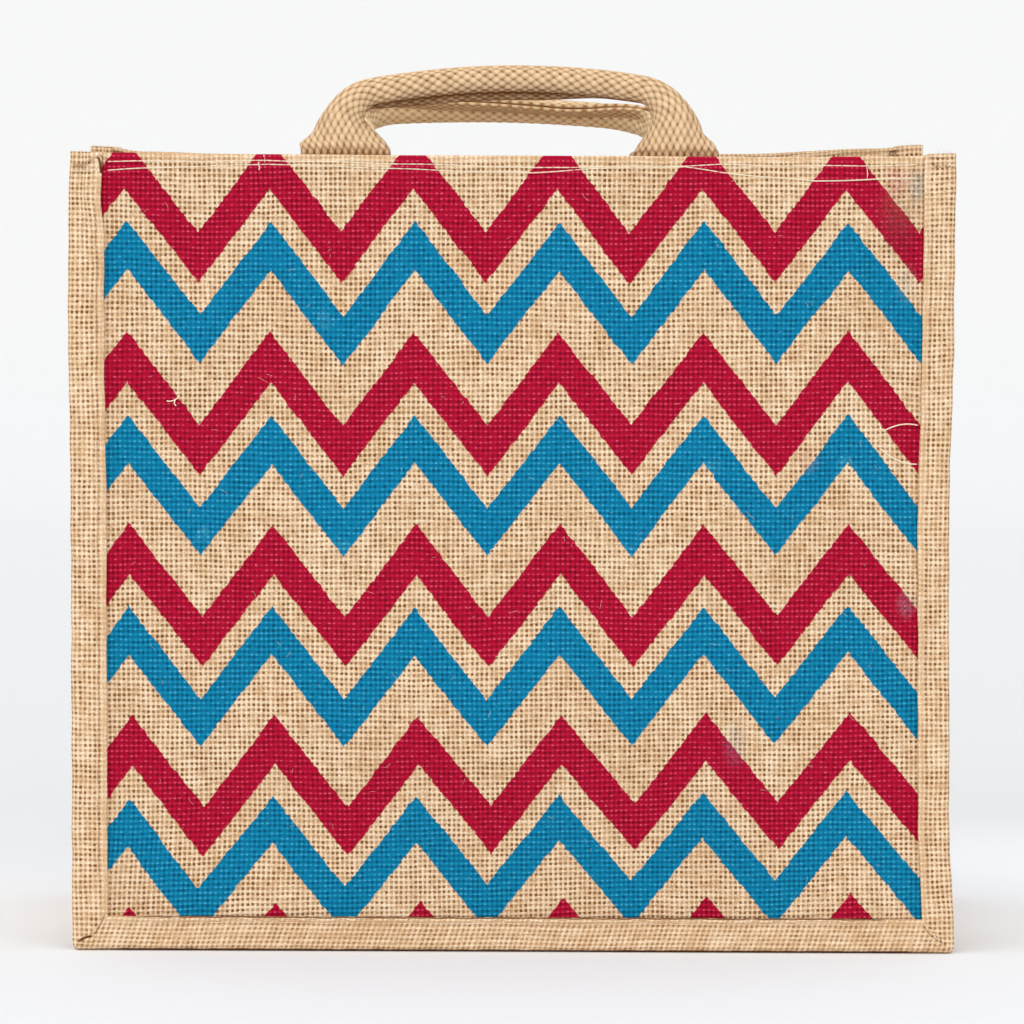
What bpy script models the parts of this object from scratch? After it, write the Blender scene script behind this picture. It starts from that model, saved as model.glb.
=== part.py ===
"""A jute (burlap) shopping bag, standing open and empty, as cut and sewn cloth.

Seven pieces: a front and a back panel with a folded top hem, one gusset strip that makes both sides and
the bottom, a binding folded round each of the two outward seams, and two handles of flat cotton webbing
whose grips are rolled into a tube. Metres, +Z up, origin on the floor under the middle of the bag. The
front panel faces -Y and +X is to the right of it.

Every piece is worked out on a straight, square bag first. settle() then gives all of them the same soft
shape of the standing bag, so that the layers of a seam stay the same small gap apart.
"""
import math

import bmesh
import bpy
import numpy as np

# Driving dimensions, in metres.
WIDTH = 0.355                # front seam frame, outside to outside
HEIGHT = 0.3217              # floor to the cut ends of the binding
DEPTH = 0.180                # between the middle planes of the front and the back seam
CLOTH = 0.0012               # thickness of the jute cloth
WEBBING = 0.0018             # thickness of the handle webbing
GAP = 0.0003                 # air between two layers that lie on each other

SEAM = DEPTH / 2             # middle plane of the front seam lies at y = -SEAM, of the back one at +SEAM
PITCH = CLOTH + GAP          # from one layer of cloth to the next
HALF_WIDTH = WIDTH / 2
PANEL_TOP = HEIGHT - 0.0004  # top fold of both panels
RAW_EDGE = 0.0030            # raw edges of panels and seam allowance, in from the outside of the frame
HEM_DEPTH = 0.016            # how far the top hems reach down inside
HEM_FACETS = 4               # facets round the fold of a hem
GUSSET_TOP = HEIGHT - 0.0050
WALL_INSET = 0.0130          # middle of the gusset wall, in from the outside of the frame
GUSSET_CORNER = 0.006        # bend of the gusset between side and bottom
GUSSET_TURN = 0.0015         # bend of the gusset where the wall turns out into the seam

# Stations that neighbouring pieces share, so that their facets run side by side.
COLUMNS = (-0.156, -0.130, -0.100, -0.066, -0.033, 0.0, 0.033, 0.066, 0.100, 0.130, 0.156)
LEVELS = (0.030, 0.060, 0.100, 0.140, 0.180, 0.220, 0.260, 0.290)
SEAM_COLUMN = 0.168          # one more column in the side seams
SEAM_LEVEL = 0.014           # and one more level at the bottom seam
UNDER_FOLD = 0.008           # the last level lies this far under the fold of a hem
PANEL_HEM_HALF = 0.1615      # the panel's hem stops short of the gusset walls
GUSSET_HEM_HALF = 0.084      # the gusset's hem stops short of the panels
GUSSET_ROWS = (GUSSET_HEM_HALF, 0.068, 0.046, 0.020)

# Binding: how wide its front leg lies on the panel, by the side of the frame, and its back leg.
BINDING_REACH = {"left": 0.0146, "bottom": 0.0139, "right": 0.0127}
BINDING_BACK_REACH = 0.0115
BINDING_HALF = 2 * CLOTH + 1.5 * GAP      # half the thickness of the seam: four layers, three gaps
BINDING_FOLD_FACETS = 5                   # odd, so that the lowest facet is a flat foot

# Handles.
WEBBING_WIDTH = 0.036
TUBE_RADIUS = 0.0043         # grip tube, to the middle of the webbing
LIP_RADIUS = 0.0015          # where the webbing turns out of the tube into the sewn lip
CLOSED_LIP = (WEBBING + GAP) / 2  # middle of the webbing from the middle of the lip, when it is sewn up
FOOT_DEPTH = 0.022           # webbing sewn inside the bag, below the top fold
BEND_START = HEIGHT + 0.0003
BEND_RADIUS = 0.009          # bend from the upright foot into the leaning grip
ARCH_RISE = 0.0328           # middle of the grip above BEND_START, measured along the webbing
GRIP_RADIUS = 0.290          # the grip is a shallow arc
LEG_STEP = 0.0030            # between stations along a leg
WIDE_CURL = (                # up a leg: how far its two edges are rolled up, and how far it is sewn shut
    # length  outer  inner  sewn
    (0.0005, 0.00, 0.00, 0.0),
    (0.0063, 0.22, 0.17, 0.0),
    (0.0111, 0.48, 0.38, 0.0),
    (0.0147, 0.62, 0.56, 0.0),
    (0.0190, 0.84, 0.80, 0.0),
    (0.0240, 0.90, 0.88, 0.2),
    (0.0330, 0.92, 0.92, 1.0),
)
NARROW_CURL = (
    # length  outer  inner  sewn
    (-0.003, 0.00, 0.00, 0.0),
    (0.0005, 0.04, 0.20, 0.0),
    (0.0030, 0.14, 0.28, 0.0),
    (0.0074, 0.28, 0.42, 0.0),
    (0.0111, 0.48, 0.58, 0.0),
    (0.0147, 0.57, 0.72, 0.0),
    (0.0190, 0.76, 0.85, 0.0),
    (0.0240, 0.87, 0.89, 0.2),
    (0.0330, 0.92, 0.92, 1.0),
)
EARLY_CURL = (
    # length  outer  inner  sewn
    (-0.008, 0.00, 0.00, 0.0),
    (0.0000, 0.38, 0.38, 0.0),
    (0.0040, 0.60, 0.60, 0.0),
    (0.0090, 0.80, 0.80, 0.0),
    (0.0160, 0.90, 0.90, 0.3),
    (0.0260, 0.92, 0.92, 1.0),
)
CURL_SHIFT = 0.010           # the leg moves out of the bag by TUBE_RADIUS over this length
FOOT_BEND = 0.007            # a foot that stands aside reaches its leg over this length

# Each handle: the side of the bag, the middle between its feet, how far it leans towards +Y and how much its
# grip tilts, and the places along the grip between which its lip turns from the left way to the right one.
# Then, for its left and its right half: how far the lip turns towards the inside of the arch, the length of
# the grip, the bend between grip and leg, how far the foot stands aside, and the leg's curl.
HANDLES = {
    "front_handle": {
        "side": -1, "middle": -0.0019, "lean": math.radians(23), "tilt": 0.014, "turning": (0.008, 0.042),
        "lip_turns": (math.radians(25), math.radians(3)), "grips": (0.0537, 0.0537),
        "corners": (0.0160, 0.0160), "feet": (0.0015, 0.0), "curls": (WIDE_CURL, NARROW_CURL),
    },
    "back_handle": {
        "side": 1, "middle": 0.0029, "lean": math.radians(62.5), "tilt": -0.065, "turning": (-0.0500, 0.0366),
        "lip_turns": (math.radians(36), math.radians(52)), "grips": (0.0500, 0.0366),
        "corners": (0.0220, 0.0360), "feet": (0.0, 0.0), "curls": (EARLY_CURL, EARLY_CURL),
    },
}

# The soft shape of the standing bag, measured against the square one, in metres.
BACK_SHIFT = -0.0082         # the back frame stands this far to the left of the front one
SIDE_EDGES = (               # level, then how far each side edge of a frame stands towards +X
    # level  front left  front right  back left  back right
    (0.000, -0.0001, 0.0003, 0.0004, -0.0002),
    (0.060, -0.0001, -0.0020, 0.0012, -0.0010),
    (0.176, 0.0000, -0.0025, 0.0018, -0.0016),
    (0.249, -0.0007, -0.0009, 0.0009, -0.0010),
    (0.301, -0.0004, -0.0005, 0.0002, -0.0003),
    (0.322, 0.0005, -0.0003, 0.0000, 0.0000),
)
TOP_EDGES = (                # place across the bag, then how far the top edge of each panel hangs down
    # across  front   back
    (-0.178, 0.0000, 0.0009),
    (-0.168, 0.0000, 0.0012),
    (-0.156, 0.0000, 0.0028),
    (-0.100, 0.0006, 0.0047),
    (-0.033, 0.0010, 0.0050),
    (0.033, 0.0012, 0.0048),
    (0.100, 0.0016, 0.0037),
    (0.156, 0.0014, 0.0014),
    (0.178, 0.0005, 0.0002),
)
DROOP_REACH = 5              # power with which the droop fades towards the floor
FRONT_BELLY = 0.0050         # how far the front panel bulges out below its middle
BACK_BELLY = 0.0040
FRONT_TOP_BOW = 0.0015       # how far the top edge of the front panel stands out
BACK_TOP_BOW = -0.0070       # the back one bows into the bag
CREASES = (                  # soft ripples of a panel: height, number across and upwards, start of the wave
    # height  across  upwards  start
    (0.0011, 1.5, 0.6, 0.4),
    (0.0007, 2.6, 1.3, 2.1),
    (0.0005, 0.7, 2.4, 4.0),
)
WALL_BOW_TOP = 0.0080        # how far the gusset walls bow into the bag, at their top and at the floor
WALL_BOW_FLOOR = 0.0015
WALL_DIP = 0.0035            # how far their top edges hang between the seams
FLOOR_HALF = 0.046           # the bottom lies flat on the floor for this far to the front and back

# Where each of these bends starts and is complete, as a pair of places across, deep or high, in metres.
CREASE_SIDES = (HALF_WIDTH - WALL_INSET, 0.120)
CREASE_BOTTOM = (0.016, 0.060)
WALL_ONLY = (0.110, 0.158)
FLOOR_SAG_DEPTH = (FLOOR_HALF, SEAM - 0.005)
FLOOR_SAG_LEVEL = (0.025, 0.110)
BELLY_BOTTOM = (0.014, 0.110)
BELLY_TOP = (0.140, HEIGHT)
TOP_BOW_LEVEL = (0.150, HEIGHT)
PANEL_ONLY = (0.030, SEAM - 0.014)

JUTE = (0.66, 0.46, 0.28)
COTTON = (0.66, 0.47, 0.30)


def smoothstep(low, high, value):
    """0 below low, 1 above high, with a smooth rise between."""
    part = np.clip((value - low) / (high - low), 0, 1)
    return part * part * (3 - 2 * part)


def table_value(place, rows, column):
    """Reads one column of a table at any place, with a smooth step from each row to the next."""
    places = np.array([row[0] for row in rows])
    values = np.array([row[column] for row in rows])
    place = np.clip(place, places[0], places[-1])
    row = np.clip(np.searchsorted(places, place, side="right") - 1, 0, len(rows) - 2)
    part = smoothstep(0, 1, (place - places[row]) / (places[row + 1] - places[row]))
    return values[row] * (1 - part) + values[row + 1] * part


def panel_ripple(x, z, phase):
    """The creases of a panel: a sum of waves across and up, which dies out towards its frame."""
    fade = smoothstep(*CREASE_SIDES, np.abs(x)) * smoothstep(*CREASE_BOTTOM, z)
    ripple = np.zeros_like(x)
    for height, across, upwards, start in CREASES:
        turns = across * x / WIDTH + upwards * z / HEIGHT
        ripple += height * np.sin(2 * math.pi * turns + start + phase)
    return fade * ripple


def settle(points):
    """Moves points of the square bag to where they are on the standing one.

    The back frame stands off to one side, the side edges wander, the top edges hang, the panels belly
    out, the gusset walls bow in, and the bottom sags from the seams onto the floor.
    """
    x, y, z = np.array(points, dtype=float).T
    level = np.clip(z, 0, HEIGHT)
    inner = SEAM - 2 * PITCH
    depth = np.clip((y + inner) / (2 * inner), 0, 1)
    blend = smoothstep(0, 1, depth)

    left = (1 - blend) * table_value(level, SIDE_EDGES, 1) + blend * table_value(level, SIDE_EDGES, 3)
    right = (1 - blend) * table_value(level, SIDE_EDGES, 2) + blend * table_value(level, SIDE_EDGES, 4)
    across = x / HALF_WIDTH
    move_x = BACK_SHIFT * depth + (left * (1 - across) + right * (1 + across)) / 2

    droop = (1 - blend) * table_value(x, TOP_EDGES, 1) + blend * table_value(x, TOP_EDGES, 2)
    move_z = -droop * (level / HEIGHT) ** DROOP_REACH

    middle = (1 - (y / inner) ** 2).clip(0) ** 2
    bow = WALL_BOW_FLOOR + (WALL_BOW_TOP - WALL_BOW_FLOOR) * (level / HEIGHT) ** 2
    move_x -= np.sign(x) * smoothstep(*WALL_ONLY, np.abs(x)) * bow * middle
    move_z -= WALL_DIP * middle * (level / HEIGHT) ** 6

    underside = WALL_INSET - CLOTH / 2
    on_floor = 1 - smoothstep(*FLOOR_SAG_DEPTH, np.abs(y))
    move_z -= underside * on_floor * (1 - smoothstep(*FLOOR_SAG_LEVEL, level))

    width_fade = (1 - (x / (HALF_WIDTH - WALL_INSET)) ** 2).clip(0) ** 1.5
    belly_fade = smoothstep(*BELLY_BOTTOM, level) * (1 - 0.8 * smoothstep(*BELLY_TOP, level))
    top_fade = smoothstep(*TOP_BOW_LEVEL, level)
    front = width_fade * (FRONT_BELLY * belly_fade + FRONT_TOP_BOW * top_fade)
    back = width_fade * (BACK_BELLY * belly_fade + BACK_TOP_BOW * top_fade)
    near_front = smoothstep(*PANEL_ONLY, -y)
    near_back = smoothstep(*PANEL_ONLY, y)
    move_y = near_back * (back + panel_ripple(x, level, 1.7)) - near_front * (front + panel_ripple(x, level, 0))

    return np.stack([x + move_x, y + move_y, z + move_z], axis=1)


def add_mesh(name, vertices, faces, material):
    """One named object from points and faces, with outward normals and smooth shading."""
    mesh = bpy.data.meshes.new(name)
    build = bmesh.new()
    corners = [build.verts.new(point) for point in vertices]
    for face in faces:
        build.faces.new([corners[index] for index in face])
    loose = [corner for corner in build.verts if not corner.link_faces]
    bmesh.ops.delete(build, geom=loose, context="VERTS")
    bmesh.ops.recalc_face_normals(build, faces=build.faces)
    build.to_mesh(mesh)
    build.free()
    mesh.shade_smooth()
    mesh.set_sharp_from_angle(angle=math.radians(50))
    mesh.materials.append(material)
    thing = bpy.data.objects.new(name, mesh)
    bpy.context.scene.collection.objects.link(thing)
    return thing


def sheet_solid(name, one_side, other_side, material, keep=None):
    """Closes two grids of points, the two faces of one cloth, into a solid.

    keep says which cells of the grid are cloth. Each cell makes a face on both sides, and each edge that
    only one such cell has makes a strip from side to side.
    """
    rows, columns, _ = one_side.shape
    keep = np.ones((rows - 1, columns - 1), bool) if keep is None else keep
    count = rows * columns
    faces = []
    edges = {}
    for row, column in np.argwhere(keep):
        first = int(row * columns + column)
        loop = (first, first + 1, first + columns + 1, first + columns)
        faces.append(loop)
        faces.append(tuple(count + corner for corner in reversed(loop)))
        for start, end in zip(loop, loop[1:] + loop[:1]):
            if edges.pop((end, start), None) is None:
                edges[(start, end)] = True
    faces += [(end, start, count + start, count + end) for start, end in edges]
    points = np.concatenate([one_side.reshape(-1, 3), other_side.reshape(-1, 3)])
    return add_mesh(name, settle(points), faces, material)


def fabric(name, colour):
    """A dull woven cloth: no metal, little gloss."""
    material = bpy.data.materials.new(name)
    material.use_nodes = True
    shader = material.node_tree.nodes["Principled BSDF"]
    shader.inputs["Base Color"].default_value = (*colour, 1)
    shader.inputs["Roughness"].default_value = 0.9
    shader.inputs["Metallic"].default_value = 0.0
    return material


def arc(start, end, count):
    """Angles from start to end in count equal steps, both ends included, in radians."""
    return np.radians(np.linspace(start, end, count + 1))


def hem_profile():
    """The top hem of a sheet that folds over to its inner side, for both faces of the cloth.

    Each row is a place across the layers, 0 in the middle of the fold, and a height over the middle of
    the fold. It starts where the sheet reaches the fold and ends at the raw edge of the hem.
    """
    angles = arc(180, 0, HEM_FACETS)
    outside = CLOTH + GAP / 2
    inside = GAP / 2
    drop = -(HEM_DEPTH - outside)
    outer = [(outside * math.cos(turn), outside * math.sin(turn)) for turn in angles]
    inner = [(inside * math.cos(turn), inside * math.sin(turn)) for turn in angles]
    outer += [(outside, drop / 2), (outside, drop)]
    inner += [(inside, drop / 2), (inside, drop)]
    return np.array(outer), np.array(inner)


def make_panel(name, side, material):
    """A panel from its raw bottom edge up to the top fold, and down again as the hem inside the bag.

    side is -1 for the front and +1 for the back. In the seam the fold is there, but the hem is cut away.
    """
    edge = HALF_WIDTH - RAW_EDGE
    columns = np.array([
        -edge, -SEAM_COLUMN, -PANEL_HEM_HALF, *COLUMNS, PANEL_HEM_HALF, SEAM_COLUMN, edge,
    ])
    hem_outer, hem_inner = hem_profile()
    fold = PANEL_TOP - (CLOTH + GAP / 2)
    heights = [RAW_EDGE, SEAM_LEVEL, *LEVELS, fold - UNDER_FOLD]
    sides = []
    for layer, hem in ((CLOTH + GAP / 2, hem_outer), (GAP / 2, hem_inner)):
        across = np.concatenate([np.full(len(heights), -layer), hem[:, 0]])
        level = np.concatenate([heights, fold + hem[:, 1]])
        grid_x, grid_y = np.meshgrid(columns, side * (SEAM - across))
        grid_z = np.repeat(level[:, None], len(columns), axis=1)
        sides.append(np.stack([grid_x, grid_y, grid_z], axis=2))
    flap = len(heights) + HEM_FACETS
    keep = np.ones((len(level) - 1, len(columns) - 1), bool)
    keep[flap:, :2] = False
    keep[flap:, -2:] = False
    return sheet_solid(name, sides[0], sides[1], material, keep)


def gusset_section():
    """Across the gusset strip, from its front raw edge to its back one, for both faces of the cloth.

    Each row is a place out from the middle of the wall and a place y. The strip lies in the front seam,
    turns back into the wall, and turns out again into the back seam.
    """
    seam_end = WALL_INSET - RAW_EDGE
    layer = SEAM - PITCH / 2
    turn_y = layer - GUSSET_TURN
    sides = []
    for offset in (CLOTH / 2, -CLOTH / 2):
        radius = GUSSET_TURN - offset
        front = [(seam_end, -layer + offset), (GUSSET_TURN, -layer + offset)]
        for turn in arc(270, 180, 2)[1:]:
            front.append((GUSSET_TURN + radius * math.cos(turn), -turn_y + radius * math.sin(turn)))
        half = front + [(offset, -place) for place in GUSSET_ROWS]
        mirrored = [(out, -y) for out, y in reversed(half)]
        sides.append(np.array(half + mirrored))
    return sides


def gusset_route():
    """The middle of the gusset strip seen from the front: down the left, along the bottom, up the right.

    Returns the points x and z and the directions out of the bag there.
    """
    wall = HALF_WIDTH - WALL_INSET
    rows = [(-wall, GUSSET_TOP - (CLOTH + GAP / 2) - 0.001, -1, 0)]
    rows += [(-wall, level, -1, 0) for level in reversed(LEVELS)]
    centre_x = wall - GUSSET_CORNER
    centre_z = WALL_INSET + GUSSET_CORNER
    for turn in arc(180, 270, 3):
        out_x = math.cos(turn)
        out_z = math.sin(turn)
        rows.append((-centre_x + GUSSET_CORNER * out_x, centre_z + GUSSET_CORNER * out_z, out_x, out_z))
    rows += [(column, WALL_INSET, 0, -1) for column in COLUMNS if abs(column) < centre_x - 0.005]
    rows = np.array(rows)
    mirrored = rows[rows[:, 0] < 0][::-1] * (-1, 1, -1, 1)
    return np.concatenate([rows[rows[:, 0] <= 0], mirrored])


def make_gusset(material):
    """The one strip of both sides and the bottom, with a hem inside at each of its two top ends."""
    route = gusset_route()
    section = gusset_section()
    hems = hem_profile()
    fold = GUSSET_TOP - (CLOTH + GAP / 2)
    sides = []
    for face, rows in enumerate(section):
        out = rows[:, 0]
        y = rows[:, 1]
        x = route[:, :1] + route[:, 2:3] * out
        z = route[:, 1:2] + route[:, 3:4] * out
        strip = np.stack([x, np.broadcast_to(y, x.shape), z], axis=2)
        hem = hems[0] if face == 0 else hems[1]
        hem_out = -PITCH / 2 - hem[:, 0]
        left_x = -(HALF_WIDTH - WALL_INSET + hem_out)
        left = np.stack(np.broadcast_arrays(left_x[:, None], y, fold + hem[:, 1:2]), axis=2)
        sides.append(np.concatenate([left[::-1], strip, left * (-1, 1, 1)]))
    hem_rows = len(hems[0])
    keep = np.ones((len(sides[0]) - 1, len(section[0]) - 1), bool)
    seam_cells = np.abs(section[0][:-1, 1] + section[0][1:, 1]) / 2 > GUSSET_HEM_HALF
    keep[:hem_rows, seam_cells] = False
    keep[-hem_rows:, seam_cells] = False
    return sheet_solid("gusset", sides[0], sides[1], material, keep)


def binding_section(reach):
    """Across the binding strip, from the edge of its front leg round the fold to the edge of the back leg.

    Each row is a place in from the outside of the frame and a place from the outer side of the seam to
    the inner one, for both faces. The front leg has its raw edge turned under, so it is thicker there.
    """
    half = BINDING_HALF
    inside = half - CLOTH
    outer = [(reach - 0.0003, -half - 0.0006), (reach - 0.0014, -half - 0.0009)]
    outer += [(reach - 0.0060, -half - 0.0008), (reach - 0.0085, -half - 0.0001)]
    inner = [(reach, -inside), (reach - 0.0014, -inside), (reach - 0.0060, -inside), (reach - 0.0085, -inside)]
    for turn in arc(90, -90, BINDING_FOLD_FACETS):
        outer.append((half - half * math.cos(turn), -half * math.sin(turn)))
        inner.append((half - inside * math.cos(turn), -inside * math.sin(turn)))
    outer.append((BINDING_BACK_REACH - 0.0002, half))
    inner.append((BINDING_BACK_REACH, inside))
    return np.array(outer), np.array(inner)


def make_binding(name, side, material):
    """The strip folded round one seam: down the left, mitred corner, along the bottom, up the right."""
    levels = [HEIGHT, PANEL_TOP - CLOTH - GAP / 2 - UNDER_FOLD, *reversed(LEVELS)]
    stations = [("left", level) for level in levels]
    stations += [("left corner", 0.0)] + [("bottom", column) for column in COLUMNS] + [("right corner", 0.0)]
    stations += [("right", level) for level in reversed(levels)]
    sides = []
    for face in (0, 1):
        rows = []
        for kind, place in stations:
            run = kind.split()[0]
            section = binding_section(BINDING_REACH[run])[face]
            inset = section[:, 0]
            rise = inset if "corner" in kind else np.full(len(inset), place)
            if "corner" in kind:
                rise = binding_section(BINDING_REACH["bottom"])[face][:, 0]
            x = np.full(len(inset), place) if run == "bottom" else HALF_WIDTH - inset
            x = -x if run == "left" else x
            z = inset if run == "bottom" else rise
            rows.append(np.stack([x, side * (SEAM - section[:, 1]), z], axis=1))
        sides.append(np.array(rows))
    return sheet_solid(name, sides[0], sides[1], material)


def webbing_section(rolled, sewn):
    """The webbing seen end on: flat, rolled into an open C, or sewn into a tube with a flat lip.

    rolled says how far each half is rolled up. The direction of the webbing is known at each place
    across it, as an even bend for the C and as a round part, a turn back and a straight lip for the tube.
    The two are mixed by sewn and added up from the middle out, so the webbing keeps its width. Returned
    are the places across and towards the opening, and the direction out of the tube.
    """
    lip_turn = math.pi - math.asin((CLOSED_LIP + LIP_RADIUS) / (TUBE_RADIUS + LIP_RADIUS))
    round_length = TUBE_RADIUS * lip_turn
    turn_length = LIP_RADIUS * (lip_turn - math.pi / 2)
    places = np.concatenate([
        np.linspace(0, round_length, 6),
        round_length + np.array([0.5, 1.0]) * turn_length,
        [WEBBING_WIDTH / 2],
    ])
    fine = np.linspace(0, WEBBING_WIDTH / 2, 2001)
    step = fine[1]
    tube = np.interp(fine, [0, round_length, round_length + turn_length], [0, lip_turn, math.pi / 2])
    halves = []
    for roll in rolled:
        heading = roll * math.pi * fine / fine[-1] * (1 - sewn) + tube * sewn
        middle_heading = (heading[1:] + heading[:-1]) / 2
        across = np.concatenate([[0], np.cumsum(np.cos(middle_heading)) * step])
        opening = np.concatenate([[0], np.cumsum(np.sin(middle_heading)) * step])
        halves.append(np.stack([np.interp(places, fine, row) for row in (across, opening, heading)], axis=1))
    other = halves[0][:0:-1] * (-1, 1, -1)
    across, opening, heading = np.concatenate([other, halves[1]]).T
    return across, opening, np.sin(heading), -np.cos(heading)


def arch_route(lengths, grip, corner):
    """The middle of the handle in its own plane, at lengths from the middle of the grip.

    A shallow arc, a tight corner arc, then straight down. Returns the places across and up over
    BEND_START, and the direction of travel from the left foot to the right one.
    """
    run = np.abs(lengths)
    grip_turn = grip / GRIP_RADIUS
    corner_length = corner * (math.pi / 2 - grip_turn)
    turn = np.where(run < grip, run / GRIP_RADIUS, grip_turn + (run - grip) / corner)
    turn = np.minimum(turn, math.pi / 2)
    on_grip = np.minimum(turn, grip_turn)
    across = GRIP_RADIUS * np.sin(on_grip) + corner * (np.sin(turn) - np.sin(on_grip))
    fall = GRIP_RADIUS * (1 - np.cos(on_grip)) + corner * (np.cos(on_grip) - np.cos(turn))
    fall += np.maximum(run - grip - corner_length, 0)
    return np.sign(lengths) * across, ARCH_RISE - fall, np.cos(turn), -np.sign(lengths) * np.sin(turn)


def lean_over(height, lean):
    """Bends the handle's plane back over BEND_RADIUS: places y and z and the upward direction there."""
    turn = np.clip(height / BEND_RADIUS, 0, lean)
    straight = np.maximum(height - BEND_RADIUS * lean, 0)
    y = BEND_RADIUS * (1 - np.cos(turn)) + straight * np.sin(lean)
    z = BEND_RADIUS * np.sin(turn) + straight * np.cos(lean) + np.minimum(height, 0)
    return y, z, np.sin(turn), np.cos(turn)


def make_handle(name, side, middle, lean, tilt, turning, lip_turns, grips, corners, feet, curls, material):
    """One handle: flat feet inside the bag, legs that roll up, and a leaning tube with its lip.

    Pairs of values are for the left and the right half, which are measured from the middle of the grip.
    """
    grip_turns = np.array(grips) / GRIP_RADIUS
    ends = grips + corners * (math.pi / 2 - grip_turns)
    legs = ends + ARCH_RISE - GRIP_RADIUS * (1 - np.cos(grip_turns)) - corners * np.cos(grip_turns)
    halves = [np.concatenate([
        np.linspace(grip / 6, grip, 4),
        np.linspace(grip, leg, round((leg - grip) / LEG_STEP) + 1)[1:],
        leg + FOOT_DEPTH * np.array([0.15, 0.35, 1.0]),
    ]) for grip, leg in zip(grips, legs)]
    lengths = np.concatenate([-halves[0][::-1], halves[1]])
    grip, corner, end, leg, foot = (
        np.where(lengths < 0, left, right) for left, right in (grips, corners, ends, legs, feet))
    u, v, along_u, along_v = arch_route(lengths, grip, corner)
    v = v + tilt * u * smoothstep(0, ARCH_RISE, v)
    lean_y, lean_z, up_y, up_z = lean_over(v, lean)
    foot_y = side * (SEAM - (CLOTH + GAP / 2) - GAP - WEBBING / 2)
    zero = np.zeros_like(u)
    aside = foot * smoothstep(FOOT_BEND, 0, leg - np.abs(lengths))
    route = np.stack([middle + u + aside, foot_y + lean_y, BEND_START + lean_z], axis=1)
    plane_up = np.stack([zero, up_y, up_z], axis=1)
    plane_right = np.stack([zero + 1, zero, zero], axis=1)
    into_bag = side * np.stack([zero, -up_z, up_y], axis=1)
    travel = plane_right * along_u[:, None] + plane_up * along_v[:, None]
    into_arch = plane_right * along_v[:, None] - plane_up * along_u[:, None]
    lip_turn = lip_turns[0] + (lip_turns[1] - lip_turns[0]) * smoothstep(*turning, lengths)
    turned = (lip_turn * smoothstep(end, grip / 2, np.abs(lengths)))[:, None]
    opening = np.cos(turned) * into_bag + np.sin(turned) * into_arch
    width_way = np.cross(travel, opening)
    sides = ([], [])
    for station, length in enumerate(lengths):
        places, outer, inner, sewn = np.array(curls[int(length > 0)]).T
        up_leg = leg[station] - abs(length)
        rolled = [np.interp(up_leg, places, edge) for edge in (outer, inner)][::side]
        section = webbing_section(rolled, np.interp(up_leg, places, sewn))
        across, towards, out_across, out_towards = section
        towards -= TUBE_RADIUS * np.mean(rolled) * smoothstep(0, CURL_SHIFT, up_leg)
        for offset, rows in zip((WEBBING / 2, -WEBBING / 2), sides):
            flat = (across + offset * out_across)[:, None] * width_way[station]
            deep = (towards + offset * out_towards)[:, None] * opening[station]
            rows.append(route[station] + flat + deep)
    return sheet_solid(name, np.array(sides[0]), np.array(sides[1]), material)


def main():
    """Clears the scene and makes the seven pieces."""
    for thing in list(bpy.data.objects):
        bpy.data.objects.remove(thing, do_unlink=True)
    make_panel("front_panel", -1, fabric("front_panel_jute", JUTE))
    make_panel("back_panel", 1, fabric("back_panel_jute", JUTE))
    make_gusset(fabric("gusset_jute", JUTE))
    make_binding("front_binding", -1, fabric("front_binding_jute", JUTE))
    make_binding("back_binding", 1, fabric("back_binding_jute", JUTE))
    for name, place in HANDLES.items():
        make_handle(name, material=fabric(name + "_cotton", COTTON), **place)


main()
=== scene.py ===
# %% [markdown]
# # A jute shopping bag in Blender
# The bag is cut and sewn from coarse jute: two panels, one long gusset strip, and a binding folded round each
# of the two seams that stand outwards. Its two handles are cotton webbing, rolled into a tube for the hand.
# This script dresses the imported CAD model. Every piece of cloth is worked out again with numpy as a finer
# sheet on the same folds, and its weave, print and wear are drawn by a material that counts threads.

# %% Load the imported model
import math

import bpy
import numpy as np
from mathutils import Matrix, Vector


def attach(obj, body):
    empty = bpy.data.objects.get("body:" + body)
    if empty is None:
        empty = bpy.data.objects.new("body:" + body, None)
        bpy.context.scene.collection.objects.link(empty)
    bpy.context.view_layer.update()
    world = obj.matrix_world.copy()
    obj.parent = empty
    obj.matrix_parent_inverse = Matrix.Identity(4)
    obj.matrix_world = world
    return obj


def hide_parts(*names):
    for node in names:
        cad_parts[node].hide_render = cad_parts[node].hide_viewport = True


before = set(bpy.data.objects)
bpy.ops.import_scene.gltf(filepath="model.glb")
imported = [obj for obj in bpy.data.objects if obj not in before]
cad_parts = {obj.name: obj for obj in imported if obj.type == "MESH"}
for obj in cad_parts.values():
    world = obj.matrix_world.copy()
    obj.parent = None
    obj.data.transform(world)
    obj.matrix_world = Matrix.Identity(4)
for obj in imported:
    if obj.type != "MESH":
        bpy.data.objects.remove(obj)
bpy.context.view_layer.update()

MM = 0.001
print("CAD nodes:", sorted(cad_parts))
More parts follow.
